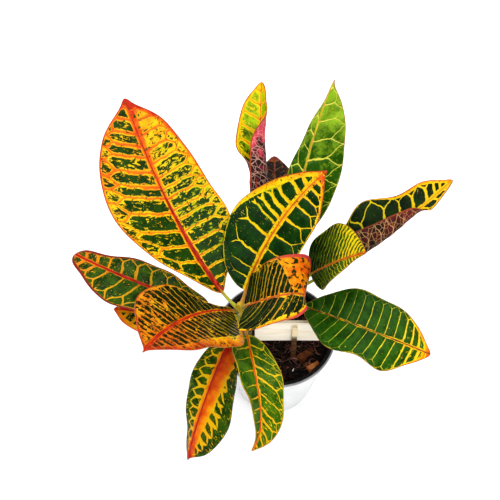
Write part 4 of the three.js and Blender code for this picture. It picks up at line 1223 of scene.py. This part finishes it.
def first_chip():
    """A split block of bark 1 mm long: a cube, subdivided and dented."""
    bpy.ops.mesh.primitive_cube_add(size=1 * MM)
    bpy.ops.object.mode_set(mode="EDIT")
    bpy.ops.mesh.subdivide(number_cuts=3)
    bpy.ops.mesh.select_all(action="SELECT")
    bpy.ops.transform.vertex_random(offset=0.07 * MM, seed=3)
    bpy.ops.object.mode_set(mode="OBJECT")
    return named("chip")


def tilt_and_turn(points, tilt, turn):
    """Points tilted about Y and then turned about Z."""
    tilted = np.array([[math.cos(tilt), 0, -math.sin(tilt)], [0, 1, 0], [math.sin(tilt), 0, math.cos(tilt)]])
    turned = np.array([[math.cos(turn), math.sin(turn), 0], [-math.sin(turn), math.cos(turn), 0], [0, 0, 1]])
    return points @ tilted @ turned


def scatter(name, source, places, material):
    """Copies of the source, one mesh each, deformed a little and joined into one piece."""
    rng = np.random.default_rng(len(places))
    first = points_of(source) / MM
    wedge = 1 - 0.45 * (first[:, 0] + 0.5)
    slim = np.mean(1 - np.clip(first[:, 0], 0, None))
    copies = []
    for x, y, z, size, turn, tilt, flat in places:
        copy = source.copy()
        copy.data = source.data.copy()
        bpy.context.collection.objects.link(copy)
        points = first + rng.normal(0, 0.035, first.shape)
        points = points * [1, rng.uniform(0.35, 0.75) * slim, flat]
        points[:, 1] *= wedge
        place_points(copy, tilt_and_turn(points * size, tilt, turn) + [x, y, z])
        copies.append(copy)
    piece = join(copies, name)
    bpy.ops.object.shade_smooth_by_angle(angle=math.radians(38))
    piece.data.materials.append(material)
    return settle(piece)


def heap(r):
    """How much higher (mm) the compost lies at a distance r (mm) from the middle than near the wall."""
    return (1 - r / CHIPS_R) * HEAP_MM


def random_places(count, seed, size, flat, z):
    rng = np.random.default_rng(seed)
    places = []
    for _ in range(count):
        r, a = CHIPS_R * math.sqrt(rng.random()), rng.uniform(0, 2 * np.pi)
        places.append((r * math.cos(a), r * math.sin(a), z + rng.uniform(-0.6, 0.9) + heap(r),
                       rng.uniform(*size), rng.uniform(0, 6.3), rng.uniform(-0.5, 0.5), rng.uniform(*flat)))
    return places


# how many, their seed, size, flatness and height; the chip in brackets: x, y, z, size, turn, tilt, flatness
chip = first_chip()
scatter("bark_chips_dark", chip, random_places(260, 21, (3, 9), (0.2, 0.5), SOIL_Z), CHIP_DARK)
scatter("bark_chips_red", chip, random_places(42, 22, (4, 11), (0.2, 0.4), SOIL_Z + 0.4)
        + [(30, -20, SOIL_Z + 1.2, 19, 0.75, 0.1, 0.28)], CHIP_RED)
scatter("bark_chips_light", chip, random_places(5, 23, (2, 5), (0.3, 0.5), SOIL_Z + 0.6)
        + [(37, -33, SOIL_Z + 1.2, 12.5, 0.7, 0.12, 0.4)], CHIP_LIGHT)
scatter("perlite_grains", chip, random_places(12, 25, (1.2, 2.6), (0.7, 0.9), SOIL_Z + 1)
        + [(17, -37, SOIL_Z + 1.4, 2.8, 1, 0, 0.8)], PERLITE)
bpy.data.objects.remove(chip)
print("chips scattered")

# %% [markdown]
# Fibres of root and bark lie over the chips. Each is a thin tube that is bent along an arc and lifted
# in its middle, made like the stems.

# %% Fibres
def make_fibre(name, rng):
    tube, t, across = flat_grid(name, rows=9, columns=4)
    r, a = FIBRES_R * math.sqrt(rng.random()), rng.uniform(0, 2 * np.pi)
    heading, bend, length = rng.uniform(0, 2 * np.pi), rng.normal(0, 1.6), rng.uniform(6, 20)
    go = heading + bend * t
    x = r * math.cos(a) + length * (t - 0.5) * np.cos(go)
    y = r * math.sin(a) + length * (t - 0.5) * np.sin(go)
    arch = rng.uniform(0.3, 1.6) * np.sin(np.pi * t) + rng.normal(0, 0.4)
    z = SOIL_Z + 0.9 + heap(r) + arch
    thick = rng.uniform(0.25, 0.6) * closed(t)
    angle = np.pi * across
    ring = np.stack([-np.sin(go) * np.cos(angle), np.cos(go) * np.cos(angle), np.sin(angle)], 1)
    place_points(tube, np.stack([x, y, z], 1) + ring * thick[:, None])
    return tube


rng = np.random.default_rng(31)
fibres = join([make_fibre("fibre_%d" % i, rng) for i in range(150)], "root_fibres")
weld(0.000002)
turn_outward()
bpy.ops.object.shade_smooth()
fibres.data.materials.append(FIBRE)
settle(fibres)
print("fibres:", len(fibres.data.polygons), "faces")

# %% [markdown]
# ## The wooden label
# A planed board of pale pine on a split stake. The board is a block whose edges are rounded and whose
# face is slightly bowed, as thin wood is. The stake stands in the compost, and its lower part is
# darker brown and streaky. Both blocks take their size and place from the imported solids.

# %% Pale pine
def pine(name, pale, line, darker_below):
    """Planed or split softwood: pale and almost matt, with fine darker lines of growth along it. It is
    darker brown and streaky below a height."""
    material, tree, shader = new_finish(name)
    place = add(tree, "TexCoord").outputs["Object"]
    lengthwise = add(tree, "Mapping", place, None, None, (0.08, 0.5, 1))
    warp = add(tree, "TexNoise", lengthwise, 1 / (9 * MM), 3)
    rings = add(tree, "TexNoise", lengthwise, 1 / (2.6 * MM), 4, None, None, 0.6)
    line_at = add(tree, "MapRange", rings, 0.55, 0.7, 0, 0.4)
    colour = add(tree, "Mix", line_at, pale, line, **COLOUR)
    cloud = add(tree, "MapRange", warp, 0.45, 0.7, 0, 0.35)
    colour = add(tree, "Mix", cloud, colour, "#E8C890", **COLOUR)
    # wood fibres are finer than 0.1 mm, and drawn at 0.6 mm so that they show
    grain = add(tree, "TexNoise", lengthwise, 1 / (0.6 * MM), 3)
    # below that height the wood turns darker brown and streaky, over a wavy border of 8 mm
    low = add(tree, "SeparateXYZ", place).outputs["Z"]
    low = add(tree, "Math MULTIPLY_ADD", warp, 12 * MM, low)
    darker_part = add(tree, "MapRange", low, darker_below + 8 * MM, darker_below)
    streak = add(tree, "MapRange", grain, 0.4, 0.65)
    brown = add(tree, "Mix", streak, "#140A05", "#7A5230", **COLOUR)
    colour = add(tree, "Mix", darker_part, colour, brown, **COLOUR)
    set_shader(shader, colour, roughness=0.6, shine=0.1, height=grain, strength=0.35, lift_mm=0.15)
    return material


PLANED_PINE = pine("planed_pine", "#FFF8E6", "#DDB880", -1)
SPLIT_PINE = pine("split_pine_stake", "#EFDDB4", "#B89058", 136 * MM)
print("pine ready")

# %% Board and stake
def block(name, low, high):
    """A box from its lowest to its highest corner, in metres, with rounded edges."""
    size = tuple(b - a for a, b in zip(low, high))
    middle = tuple((a + b) / 2 for a, b in zip(low, high))
    bpy.ops.mesh.primitive_cube_add(size=1, location=middle, scale=size)
    bpy.ops.object.transform_apply(location=True, scale=True)
    bpy.ops.object.mode_set(mode="EDIT")
    bpy.ops.mesh.select_mode(type="EDGE")
    bpy.ops.mesh.select_all(action="SELECT")
    bpy.ops.mesh.bevel(offset=0.5 * MM, segments=3, affect="EDGES")
    bpy.ops.object.mode_set(mode="OBJECT")
    return named(name), middle


def bow(piece, amount_mm):
    """Bows a board backwards, most in the middle of its length."""
    points = points_of(piece)
    reach = np.abs(points[:, 0] - points[:, 0].mean()).max()
    points[:, 1] += amount_mm * MM * (1 - ((points[:, 0] - points[:, 0].mean()) / reach) ** 2)
    place_points(piece, points / MM)


board, _ = block("label_board_pine", *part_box("label_board"))
bpy.ops.object.modifier_add(type="SUBSURF")
cuts = board.modifiers[-1]
cuts.subdivision_type = "SIMPLE"
cuts.levels = 3
bpy.ops.object.modifier_apply(modifier=cuts.name)
bow(board, 0.25)

stake, stake_middle = block("label_stake_pine", *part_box("label_stake"))
pick_faces(stake, lambda at, normal: normal.z < -0.5)
bpy.ops.transform.resize(value=(0.3, 0.5, 1), center_override=stake_middle)
bpy.ops.object.mode_set(mode="OBJECT")

board.select_set(True)
bpy.ops.object.shade_smooth_by_angle(angle=math.radians(40))
for piece, finish, node in ((board, PLANED_PINE, "label_board"), (stake, SPLIT_PINE, "label_stake")):
    piece.data.materials.append(finish)
    settle(piece, node)
print("label:", len(board.data.polygons), len(stake.data.polygons), "faces")

# %% [markdown]
# ## Floor and light
# The plant stands on a plain white floor in soft, even studio light: a bright sky of light from all
# sides, one large lamp above and behind on the left that gives the leaves their sheen, and a weaker
# one at the front. The floor glows a little, as paper over a light table does, so it stays white
# under the leaves. A lamp shines along its own -Z, so it is tilted and then turned towards its aim.

# %% Floor, lamps and background
FLOOR_Z = -0.5 * MM
AIM = (0, 0, 0.1)
bpy.ops.mesh.primitive_plane_add(size=12, location=(0, 0, FLOOR_Z))
floor = named("pale_floor")
material, tree, shader = new_finish("white_paper_floor")
cloud = add(tree, "TexNoise", add(tree, "TexCoord").outputs["Object"], 3, 3)
paper = add(tree, "Mix", cloud, "#F4F4F6", "#FBFBFC", **COLOUR)
feed(shader, {"Base Color": paper, "Roughness": 0.8, "Emission Color": "#FFFFFF", "Emission Strength": 0.14})
floor.data.materials.append(material)


def lamp(name, place, size, watts):
    bpy.ops.object.light_add(type="AREA", location=place)
    light = bpy.context.object
    light.name = name
    light.data.size = size
    light.data.energy = watts
    x, y, z = np.subtract(AIM, place)
    light.rotation_euler = (math.atan2(math.hypot(x, y), -z), 0, math.atan2(-x, y))


lamp("large_soft_lamp", (-0.5, 0.6, 2.2), size=2.6, watts=76)
lamp("front_fill_lamp", (0.9, -1.5, 2.0), size=2.2, watts=44)
world = bpy.data.worlds.new("studio")
bpy.context.scene.world = world
world.use_nodes = True
feed(world.node_tree.nodes["Background"], {"Color": "#FFFFFF", "Strength": 0.34})
bpy.context.scene.view_settings.view_transform = "Standard"
print("stage ready")
